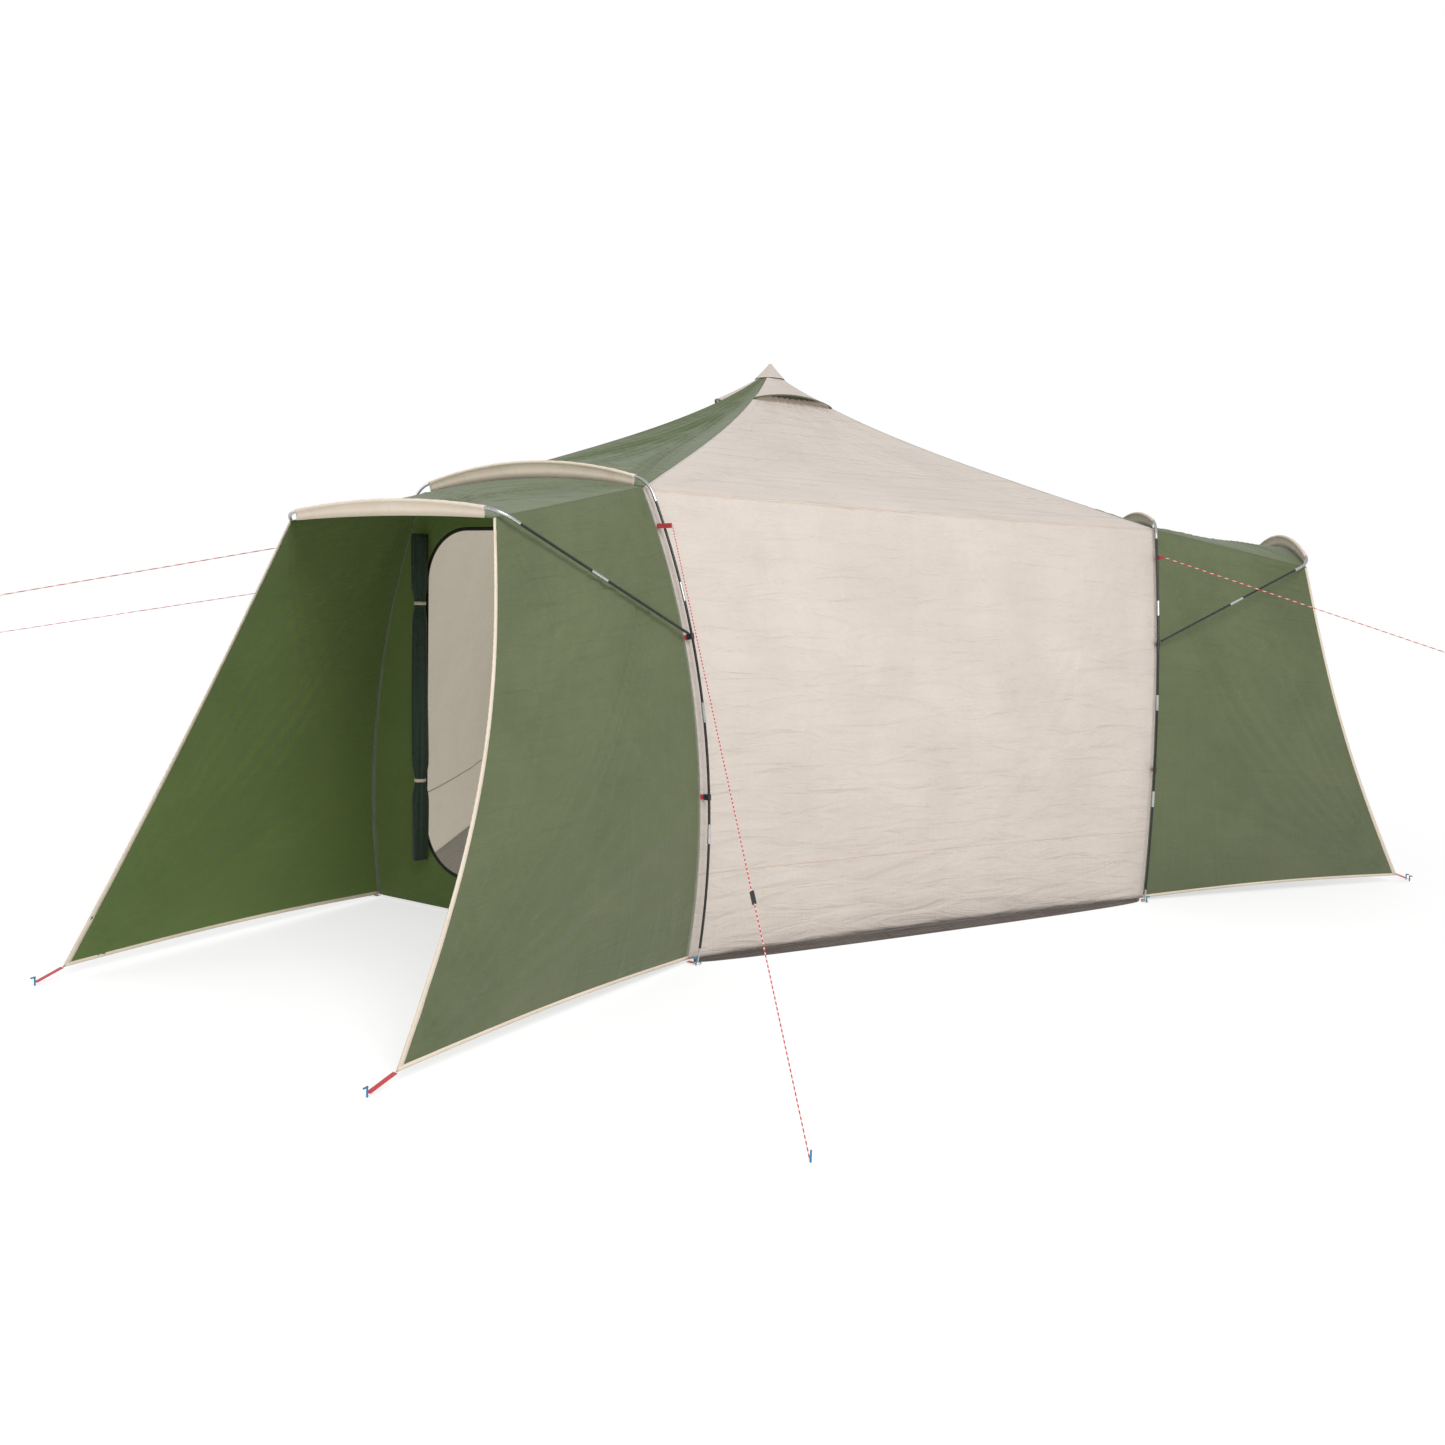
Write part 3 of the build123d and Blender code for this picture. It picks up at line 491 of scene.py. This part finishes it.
def strip(name, surface, us, vs, material, slot, parent_body="root", thickness=0.0026, lift=0.0, **folds):
    """Tape or stitched seam that lies on a panel: a narrow part of the same surface."""
    def lifted(u, v):
        return surface(u, v)
    rows = folded(lifted, us, vs, **folds)
    if lift:
        rows = [[p + n * lift for p, n in zip(row, normals)] for row, normals in zip(rows, row_normals(rows))]
    obj = grid_mesh(name, rows, [material], thickness)
    finish_piece(obj, parent_body, slot)
    return obj


def row_normals(rows):
    """Unit normals of a grid of points."""
    height, width = len(rows), len(rows[0])
    result = []
    for j in range(height):
        line = []
        for i in range(width):
            across = rows[j][min(i + 1, width - 1)] - rows[j][max(i - 1, 0)]
            up = rows[min(j + 1, height - 1)][i] - rows[max(j - 1, 0)][i]
            line.append(across.cross(up).normalized())
        result.append(line)
    return result


# ---- cloth pieces -----------------------------------------------------------------------------------
def make_side(arm, seed):
    """Side wall and upper panel, with their stitched seams."""
    wall, panel = wall_surface(arm), panel_surface(arm)
    wide, high = 2.75, 1.95
    lines = [
        (0.0, high, wide * 0.8, 0.6, 0.003, 0.10, 0.22), (wide, high, 0.5, high * 0.7, 0.004, 0.12, 0.20),
        (wide, high, wide * 0.55, 0.2, 0.003, 0.09, 0.16), (wide, 0.3, 0.9, high * 0.55, 0.003, 0.10, 0.18),
        (0.0, high * 0.66, wide * 0.7, high * 0.5, 0.003, 0.10, 0.14), (0.0, 0.05, wide, 0.5, 0.003, 0.10, 0.14),
        (0.0, high * 0.3, wide * 0.6, 0.25, 0.003, 0.09, 0.12), (wide, 0.0, 0.4, 0.25, 0.003, 0.10, 0.14),
    ]
    sheet_piece(f"side_wall_cloth_{arm}", wall, spread(110), spread(80), ["beige", "beige_in"], "beige_cloth",
                [f"side_wall_{arm}"], (wide, high), lines=lines, seed=seed, wobble=0.006, flip=1.0)
    up_lines = [(0.0, 0.0, wide * 0.5, 1.9, 0.004, 0.12, 0.2), (wide, 0.0, wide * 0.5, 1.9, 0.004, 0.12, 0.2)]
    lower_with_pole(sheet_piece(
        f"side_panel_cloth_{arm}", panel, spread(96), spread(70), ["beige", "beige_in"], "beige_cloth",
        [f"side_panel_{arm}"], (2.7, 2.0), lines=up_lines, seed=seed + 3, wobble=0.006))
    strip(f"side_seam_low_{arm}", wall, spread(60, 0.002, 0.998), [0.187, 0.1885, 0.190], "stitch", "beige_cloth",
          lines=lines, seed=seed, wobble=0.006, size=(wide, high))
    strip(f"side_seam_top_{arm}", wall, spread(60, 0.002, 0.998), [0.996, 0.9975, 0.999], "stitch", "beige_cloth",
          wobble=0.0, size=(wide, high))


def make_gore(arm, seed):
    gore = gore_surface(arm)
    lines = [(0.0, 0.0, 0.6, 2.2, 0.009, 0.10, 0.16), (1.2, 0.0, 0.6, 2.2, 0.009, 0.10, 0.16),
             (0.6, 0.0, 0.6, 2.2, 0.006, 0.13, 0.25), (0.0, 0.0, 1.2, 0.6, 0.006, 0.09, 0.14),
             (1.2, 0.0, 0.0, 0.6, 0.006, 0.09, 0.14)]
    lower_with_pole(sheet_piece(
        f"roof_gore_cloth_{arm}", gore, spread(60), spread(80), ["roof", "green_in"], "green_cloth",
        [f"roof_gore_{arm}"], (1.25, 2.3), lines=lines, seed=seed, wobble=0.004))
    for side, us in (("far", (0.0, 0.006, 0.012)), ("near", (0.988, 0.994, 1.0))):
        lower_with_pole(strip(f"roof_seam_{arm}_{side}", gore, us, spread(60), "roof", "green_cloth", wobble=0.0,
                              size=(1.25, 2.3)))


def make_porch(arm, seed):
    """Porch roof, both wings and their tapes."""
    sheet_piece(f"porch_roof_cloth_{arm}", porch_surface(arm), spread(56), spread(40), ["green_in", "roof"],
                "green_cloth", [f"porch_roof_{arm}"], (1.26, 0.86), seed=seed, wobble=0.004,
                lines=[(0.0, 0.0, 1.2, 0.8, 0.006, 0.08, 0.14), (1.26, 0.0, 0.0, 0.8, 0.007, 0.08, 0.14),
                       (1.26, 0.0, 0.2, 0.3, 0.005, 0.07, 0.10), (0.0, 0.86, 1.2, 0.2, 0.005, 0.08, 0.12)])
    for side in (-1, 1):
        wing = wing_surface(arm, side)
        label = f"{arm}_{'far' if side < 0 else 'near'}"
        wide, high = 1.7, 2.0
        lines = [(wide, 0.0, 0.0, high, 0.006, 0.12, 0.22), (wide, 0.0, wide * 0.6, high, 0.005, 0.10, 0.16),
                 (0.0, high, wide, high * 0.55, 0.006, 0.10, 0.16), (wide, 0.0, 0.0, high * 0.4, 0.006, 0.11, 0.2),
                 (0.0, high, wide * 0.7, 0.3, 0.006, 0.09, 0.18), (wide, high, 0.1, high * 0.3, 0.005, 0.09, 0.16)]
        us = spread(64)
        vs = spread(76)
        materials = ["green", "green_in"] if side < 0 else ["green_in", "green"]
        sheet_piece(f"wing_cloth_{label}", wing, us, vs, materials, "green_cloth", [f"wings_{arm}"],
                    (wide, high), lines=lines, seed=seed + side, wobble=0.005)
        edge = TAPE / 1.3
        common = {"lines": lines, "seed": seed + side, "wobble": 0.0, "size": (wide, high)}
        strip(f"wing_tape_front_{label}", wing, [1 - edge * 1.2, 1 - edge * 0.5, 1.0], spread(70), "tape",
              "beige_cloth", **common)
        strip(f"wing_tape_hem_{label}", wing, spread(60), [0.0, 0.004, 0.008], "tape", "beige_cloth", **common)


def profile_band(name, arc, seam, arm, node):
    """Sleeve round a crown with its cloth band down to the roof's seam."""
    rows = []
    leg = ELBOW_LEG / arc.length * 0.72
    count = 64
    for k in range(count + 1):
        part = leg + (1 - 2 * leg) * k / count
        axis_point, low = arc.at(part), seam.at(part)
        radial = (arc.at(part, 0.001) - axis_point).normalized()
        depth = (axis_point - low).dot(radial) - 0.001
        ripple = 1 + 0.07 * sin(k * 2.1) + 0.05 * sin(k * 0.9)
        across = Vector((1, 0, 0))
        ring = []
        for step in range(13):
            angle = radians(-62 + step * (304 / 12))
            ring.append(axis_point + (across * cos(angle) + radial * sin(angle)) * (SLEEVE_R + 0.0008) * ripple)
        out = [axis_point - radial * depth * 0.55 + across * 0.0030, axis_point - radial * depth + across * 0.0012]
        back = [axis_point - radial * depth - across * 0.0012, axis_point - radial * depth * 0.55 - across * 0.0030]
        rows.append([PLACE[arm] @ p for p in [out[1], out[0], *ring, back[1], back[0]]])
    obj = grid_mesh(name, rows, ["tape"], sheet=False, loop=True)
    mesh = obj.data
    width = len(rows[0])
    import bmesh
    bm = bmesh.new()
    bm.from_mesh(mesh)
    bm.verts.ensure_lookup_table()
    bm.faces.new([bm.verts[i] for i in reversed(range(width))])
    bm.faces.new([bm.verts[count * width + i] for i in range(width)])
    bmesh.ops.recalc_face_normals(bm, faces=bm.faces)
    bm.to_mesh(mesh)
    bm.free()
    return finish_piece(obj, "root", "beige_cloth", *node)


def make_sleeves(arm):
    rise = ARM[arm][2]
    profile_band(f"arch_sleeve_{arm}", crown_arc(), CROWN_SEAM, arm, [f"pole_sleeves_{arm}"])
    profile_band(f"hoop_sleeve_{arm}", hoop_arc(rise), hoop_seam(rise), arm, [f"pole_sleeves_{arm}"])


def door_edge(count=20):
    """Outline of a doorway as (y, z), counter-clockwise from the lower right."""
    points = []
    corners = [(1, -1, -90), (1, 1, 0), (-1, 1, 90), (-1, -1, 180)]
    middle, half = (DOOR_SILL + DOOR_TOP) / 2, (DOOR_TOP - DOOR_SILL) / 2
    for sy, sz, start in corners:
        centre = (sy * (DOOR_HALF - DOOR_CORNER), middle + sz * (half - DOOR_CORNER))
        for k in range(count + 1):
            angle = radians(start + 90 * k / count)
            points.append((centre[0] + DOOR_CORNER * cos(angle), centre[1] + DOOR_CORNER * sin(angle)))
    dense = []
    for k, here in enumerate(points):
        after = points[(k + 1) % len(points)]
        parts = max(1, round(hypot(after[0] - here[0], after[1] - here[1]) / 0.025))
        dense += [(here[0] + (after[0] - here[0]) * n / parts, here[1] + (after[1] - here[1]) * n / parts)
                  for n in range(parts)]
    return dense


def wall_edge_point(angle):
    """Point of the end wall's outline in a direction from the doorway's middle, found by halving."""
    middle = (DOOR_SILL + DOOR_TOP) / 2
    low, high = 0.0, 2.2
    for _ in range(30):
        reach = (low + high) / 2
        y, z = reach * cos(angle), middle + reach * sin(angle)
        if inside_wall(y, z):
            low = reach
        else:
            high = reach
    return low * cos(angle), middle + low * sin(angle)


def inside_wall(y, z):
    if z < HEM_Z:
        return False
    if z <= ELBOW_Z - ELBOW_INSET:
        return abs(y) < on_post(1, z, POST_INSET).y - SEAM_GAP
    half = ELBOW_HALF - ELBOW_INSET
    if abs(y) > half:
        return False
    arc = CROWN_SEAM
    return hypot(y - arc.centre[0], z - arc.centre[1]) < arc.radius - SEAM_GAP


def make_end_wall(arm, seed):
    """Wall in the arch plane: a ring of cloth between its outline and the doorway, and the zip round it."""
    inner = door_edge()
    middle = (DOOR_SILL + DOOR_TOP) / 2
    rings = 10
    rows = []
    for r in range(rings + 1):
        row = []
        for y, z in inner:
            oy, oz = wall_edge_point(atan2(z - middle, y))
            t = r / rings
            py, pz = y + (oy - y) * t, z + (oz - z) * t
            wave = 0.006 * sin(pi * t) * noise.noise(Vector((py * 3, pz * 2, seed)))
            row.append(PLACE[arm] @ Vector((wave, py, pz)))
        rows.append(row)
    obj = grid_mesh(f"end_wall_cloth_{arm}", rows, ["green_in", "green_in"], loop=True)
    finish_piece(obj, "root", "green_cloth", f"end_wall_{arm}")
    zip_rows = []
    for offset in (-0.004, 0.004, 0.012):
        row = []
        for k, (y, z) in enumerate(inner):
            ty, tz = inner[(k + 1) % len(inner)][0] - inner[k - 1][0], inner[(k + 1) % len(inner)][1] - inner[k - 1][1]
            run = hypot(ty, tz)
            row.append(PLACE[arm] @ Vector((0.0, y + tz / run * offset, z - ty / run * offset)))
        zip_rows.append(row)
    zipper = grid_mesh(f"door_zip_{arm}", zip_rows, ["zip"], 0.0030, loop=True)
    finish_piece(zipper, "root", "zip_metal")


def make_door(arm, seed):
    """Door: rolled up beside the front doorway, closed on the others."""
    if arm == "front":
        rows = []
        base = Vector((0.0004 + DOOR_ROLL_R + 0.002, -DOOR_HALF - 0.004, 0))
        low, high, count = DOOR_SILL + DOOR_CORNER * 0.25, DOOR_TOP - 0.020, 70
        ties = (0.62, 1.45)
        for k in range(count + 1):
            z = low + (high - low) * k / count
            pinch = 1 - sum(0.38 * exp(-((z - tie) / 0.05) ** 2) for tie in ties)
            row = []
            for step in range(36):
                angle = 2 * pi * step / 36
                fold = 1 + 0.16 * sin(3 * angle + 3.1 * z) + 0.09 * sin(7 * angle - 2 * z)
                reach = DOOR_ROLL_R * 0.82 * pinch * fold
                sway = 0.006 * sin(2.3 * z)
                row.append(PLACE[arm] @ (base + Vector((reach * cos(angle), reach * sin(angle) + sway, z))))
            rows.append(row)
        obj = grid_mesh("rolled_door_front", rows, ["door"], sheet=False, loop=True)
        cap_ends(obj, 36, count)
        finish_piece(obj, "root", "green_cloth", "door_front")
        for number, tie in enumerate(ties):
            ring = []
            for step in range(3):
                z = tie + (step - 1) * 0.008
                ring.append([PLACE[arm] @ (base + Vector((0.026 * cos(a), 0.026 * sin(a) + 0.006 * sin(2.3 * z), z)))
                             for a in [2 * pi * n / 24 for n in range(24)]])
            band = grid_mesh(f"door_tie_{number + 1}", ring, ["tape"], 0.003, loop=True)
            finish_piece(band, "root", "beige_cloth")
        return
    middle, half = (DOOR_SILL + DOOR_TOP) / 2, (DOOR_TOP - DOOR_SILL) / 2
    rows = []
    inner = door_edge()
    for r in range(9):
        t = (r + 0.02) / 8.02
        row = []
        for y, z in inner:
            py, pz = y * t * 0.998, middle + (z - middle) * t * 0.998
            wave = 0.008 * (1 - t) * noise.noise(Vector((py * 3, pz * 2, seed + 5)))
            row.append(PLACE[arm] @ Vector((wave, py, pz)))
        rows.append(row)
    obj = grid_mesh(f"door_cloth_{arm}", rows, ["green_in", "door"], loop=True)
    finish_piece(obj, "root", "green_cloth", f"door_{arm}")


def cap_ends(obj, width, count):
    """Close both ends of a lofted tube."""
    import bmesh
    bm = bmesh.new()
    bm.from_mesh(obj.data)
    bm.verts.ensure_lookup_table()
    bm.faces.new([bm.verts[i] for i in reversed(range(width))])
    bm.faces.new([bm.verts[count * width + i] for i in range(width)])
    bmesh.ops.recalc_face_normals(bm, faces=bm.faces)
    bm.to_mesh(obj.data)
    bm.free()


def make_vent(arm, seed):
    """Mesh panel at the top of a side panel and the piped hood over it."""
    top = VENT_START / 5

    def mesh(u, v):
        s = GATHER_START - (GATHER_START - top) * v
        a, b = roof_seam(arm, 1, s), roof_seam(NEXT[arm], -1, s)
        return cut(a, b, u, 0.002) + inward(a, b) * WALL_SAG * s * sin(pi * u)
    lower_with_pole(sheet_piece(
        f"vent_mesh_{arm}", mesh, spread(30), spread(16), ["mesh"], "mesh_cloth", ["vent_mesh"], (0.62, 0.34),
        wobble=0.0))

    def hood(u, v):
        s = VENT_START * 1.06 - (VENT_START * 1.06 - top * 0.8) * v
        a, b = roof_seam(arm, 1, s), roof_seam(NEXT[arm], -1, s)
        lift = 0.002 + HOOD_LIFT * max(0.0, sin(pi * u)) ** 0.7 * (1 - v) ** 0.8
        out = inward(a, b) * -0.8 + Vector((0, 0, 0.6))
        return cut(a, b, u, 0.003) + inward(a, b) * WALL_SAG * s * sin(pi * u) + out * lift
    lower_with_pole(
        sheet_piece(f"vent_hood_{arm}", hood, spread(48), spread(26), ["beige", "beige_in"], "beige_cloth",
                    ["vent_hoods"], (0.66, 0.36), seed=seed, wobble=0.002),
        strip(f"vent_piping_{arm}", hood, spread(48), [0.0, 0.02, 0.04], "green", "green_cloth", thickness=0.006,
              wobble=0.0))


def make_cap():
    rows = []
    for k in range(13):
        t = k / 12
        radius = 0.080 * (1 - t) ** 1.1 + 0.008
        z = 2.7945 + (APEX_Z - 2.7945 - 0.001) * t
        rows.append([Vector(((radius + 0.002 * cos(6 * a)) * cos(a), (radius + 0.002 * cos(6 * a)) * sin(a), z))
                     for a in [2 * pi * n / 48 for n in range(48)]])
    obj = grid_mesh("apex_cap_cloth", rows, ["beige"], 0.0014, loop=True)
    finish_piece(obj, "root", "beige_cloth", "apex_cap")
    lower_with_pole(obj)


def make_floor_cloth():
    """Groundsheet and the flaps outside the side walls."""
    corners = []
    for arm in ("front", "right", "left"):
        for side in (-1, 1):
            foot = PLACE[arm] @ post_seam(side, 0)
            corners.append(Vector((foot.x, foot.y, 0)))
    outline = []
    for k, corner in enumerate(corners):
        after = corners[(k + 1) % len(corners)]
        outline += [corner.lerp(after, n / 24) for n in range(24)]
    rows = []
    for r in range(24):
        t = (r + 0.05) / 23.05
        row = []
        for p in outline:
            q = p * t * 0.978
            ripple = 0.0035 + 0.003 * noise.noise(Vector((q.x * 3, q.y * 3, 2.0)))
            upturn = FLOOR_EDGE * max(0.0, (t - 0.97) / 0.03) ** 2
            row.append(Vector((q.x, q.y, max(0.0008, ripple * min(1.0, (1 - t) * 8 + 0.1)) + upturn)))
        rows.append(row)
    obj = grid_mesh("groundsheet_cloth", rows, ["floor", "floor"], loop=True)
    finish_piece(obj, "root", "floor_cloth", "groundsheet")
    for number, arm in enumerate(("front", "right", "left")):
        def flap(u, v, arm=arm):
            a, b = side_line(arm, 0)
            a, b = Vector((a.x, a.y, 0)), Vector((b.x, b.y, 0))
            line = cut(a, b, 0.01 + 0.98 * u) + inward(a, b) * WALL_SAG * 0.35 * sin(pi * u)
            point = line - inward(a, b) * (0.002 + MUD_FLAP * v * max(0.0, sin(pi * u)) ** 0.5)
            return Vector((point.x, point.y, 0.0009 + HEM_Z * (1 - v) ** 1.6))
        sheet_piece(f"mud_flap_cloth_{arm}", flap, spread(90), spread(6), ["flap"], "flap_cloth", ["mud_flaps"],
                    (2.75, 0.09), held="laid", wobble=0.0015, seed=number * 3.0, pinned=0.02)


# ---- ropes ------------------------------------------------------------------------------------------
ROPES = [
    ("front", 1, (2.158, -3.458, 0.0025), "fitting", ["guy_slider", "guy_peg"]),
    ("front", -1, (-2.176, -3.298, 1.419), "knot", ["guy_knots"]),
    ("right", -1, (3.539, 0.736, 1.342), "knot", []),
    ("left", 1, (-3.721, -2.498, 1.186), "knot", []),
]
ROPE_START = Vector((0.022, 0.790, 1.800))


def make_ropes():
    """Taut guy ropes, each a smooth line from its sewn tab to its far end."""
    for number, (arm, side, end, far_end, pieces) in enumerate(ROPES):
        start = PLACE[arm] @ Vector((ROPE_START.x, side * ROPE_START.y, ROPE_START.z))
        end = Vector(end)
        data = bpy.data.curves.new(f"guy_rope_line_{number + 1}", "CURVE")
        data.dimensions = "3D"
        data.bevel_depth = ROPE_D / 2
        data.bevel_resolution = 4
        data.use_fill_caps = True
        spline = data.splines.new("NURBS")
        spline.points.add(2)
        for point, position in zip(spline.points, (start, (start + end) / 2, end)):
            point.co = (*position, 1)
        spline.order_u = 3
        spline.use_endpoint_u = True
        data.materials.append(M["rope"])
        obj = bpy.data.objects.new(f"guy_rope_line_{number + 1}", data)
        bpy.context.scene.collection.objects.link(obj)
        finish_piece(obj, "root", "rope", f"guy_rope_{number + 1}")


# ---- carried-over CAD nodes ---------------------------------------------------------------------------
NODE_MATERIALS = {
    "pole_ferrules": "steel", "pole_steel_ends": "steel", "foot_rings": "steel", "centre_pole_lower": "tube",
    "centre_pole_upper": "tube", "pole_foot": "rubber", "pole_lock_collar": "plastic", "pole_clips": "plastic",
    "guy_slider": "plastic", "clip_webbing": "red", "peg_loops": "red", "guy_tabs": "red", "pegs": "peg",
    "guy_peg": "peg", "guy_knots": "rope",
}
for arm_name in ARM:
    NODE_MATERIALS[f"arch_rods_{arm_name}"] = "rod"
    NODE_MATERIALS[f"hoop_rods_{arm_name}"] = "rod"
    NODE_MATERIALS[f"zip_pull_{arm_name}"] = "zip"


def paint_nodes():
    for node, material in NODE_MATERIALS.items():
        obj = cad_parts[node]
        if not obj.material_slots:
            continue
        for slot in obj.material_slots:
            slot.material = M[material]


# ---- stage ------------------------------------------------------------------------------------------
def make_camera():
    data = bpy.data.cameras.new("camera")
    data.lens = 30.156
    data.sensor_width = 36.0
    data.clip_end = 200
    camera = bpy.data.objects.new("camera", data)
    camera.location = (3.550, -6.286, 1.494)
    turn = Euler((radians(90 - 5.64), 0, radians(31.16))).to_matrix() @ Matrix.Rotation(radians(1.74), 3, "Z")
    camera.rotation_euler = turn.to_euler()
    bpy.context.scene.collection.objects.link(camera)
    bpy.context.scene.camera = camera


def make_light():
    """Pale sky, a wide key light from above the camera and a soft fill."""
    world = bpy.data.worlds.new("studio")
    world.use_nodes = True
    tree = world.node_tree
    background = tree.nodes["Background"]
    background.inputs["Color"].default_value = (1, 1, 1, 1)
    rays = tree.nodes.new("ShaderNodeLightPath")
    seen = tree.nodes.new("ShaderNodeMath")
    seen.operation = "MAXIMUM"
    link(tree, rays.outputs["Is Camera Ray"], seen.inputs[0])
    link(tree, rays.outputs["Is Transmission Ray"], seen.inputs[1])
    strength = tree.nodes.new("ShaderNodeMapRange")
    strength.inputs["To Min"].default_value = 0.62
    strength.inputs["To Max"].default_value = 1.0
    link(tree, seen.outputs["Value"], strength.inputs["Value"])
    link(tree, strength.outputs["Result"], background.inputs["Strength"])
    bpy.context.scene.world = world
    for name, place_at, aim, size, power in (
            ("key", (6.5, -6.0, 7.5), (0.3, -0.6, 1.0), 5.0, 620), ("fill", (-7.0, -6.0, 5.0), (0, 0, 1.0), 6.0, 160)):
        data = bpy.data.lights.new(name, "AREA")
        data.energy = power
        data.size = size
        lamp = bpy.data.objects.new(name, data)
        lamp.location = place_at
        lamp.rotation_euler = (Vector(aim) - Vector(place_at)).to_track_quat("-Z", "Y").to_euler()
        bpy.context.scene.collection.objects.link(lamp)


def make_ground():
    """Pale studio floor that keeps the tent's soft shadow."""
    mesh = bpy.data.meshes.new("studio_floor")
    reach = 60.0
    mesh.from_pydata([(-reach, -reach, 0), (reach, -reach, 0), (reach, reach, 0), (-reach, reach, 0)], [],
                     [(0, 1, 2, 3)])
    material, tree, shader = new_material("studio_floor")
    shader.inputs["Base Color"].default_value = (0.95, 0.95, 0.95, 1)
    shader.inputs["Roughness"].default_value = 1.0
    shader.inputs["Specular IOR Level"].default_value = 0.0
    glow = tree.nodes.new("ShaderNodeEmission")
    glow.inputs["Strength"].default_value = 1.08
    mix = tree.nodes.new("ShaderNodeMixShader")
    rays = tree.nodes.new("ShaderNodeLightPath")
    away = tree.nodes.new("ShaderNodeVectorMath")
    away.operation = "LENGTH"
    link(tree, tree.nodes.new("ShaderNodeTexCoord").outputs["Object"], away.inputs[0])
    fade = tree.nodes.new("ShaderNodeMapRange")
    fade.inputs["From Min"].default_value = 3.0
    fade.inputs["From Max"].default_value = 9.0
    fade.inputs["To Min"].default_value = 0.60
    link(tree, away.outputs["Value"], fade.inputs["Value"])
    share = tree.nodes.new("ShaderNodeMath")
    share.operation = "MULTIPLY"
    link(tree, rays.outputs["Is Camera Ray"], share.inputs[0])
    link(tree, fade.outputs["Result"], share.inputs[1])
    link(tree, share.outputs["Value"], mix.inputs["Fac"])
    link(tree, shader.outputs["BSDF"], mix.inputs[1])
    link(tree, glow.outputs["Emission"], mix.inputs[2])
    link(tree, mix.outputs["Shader"], tree.nodes["Material Output"].inputs["Surface"])
    mesh.materials.append(material)
    floor = bpy.data.objects.new("studio_floor", mesh)
    floor.location.z = -0.001
    bpy.context.scene.collection.objects.link(floor)


make_camera()
make_light()
make_ground()
paint_nodes()
for index, arm_name in enumerate(ARM):
    make_side(arm_name, 10.0 + 5 * index)
    make_gore(arm_name, 30.0 + 5 * index)
    make_porch(arm_name, 50.0 + 5 * index)
    make_sleeves(arm_name)
    make_end_wall(arm_name, 70.0 + 5 * index)
    make_door(arm_name, 90.0 + 5 * index)
    make_vent(arm_name, 110.0 + 5 * index)
make_cap()
make_floor_cloth()
make_ropes()
bpy.context.scene.view_settings.view_transform = "Standard"
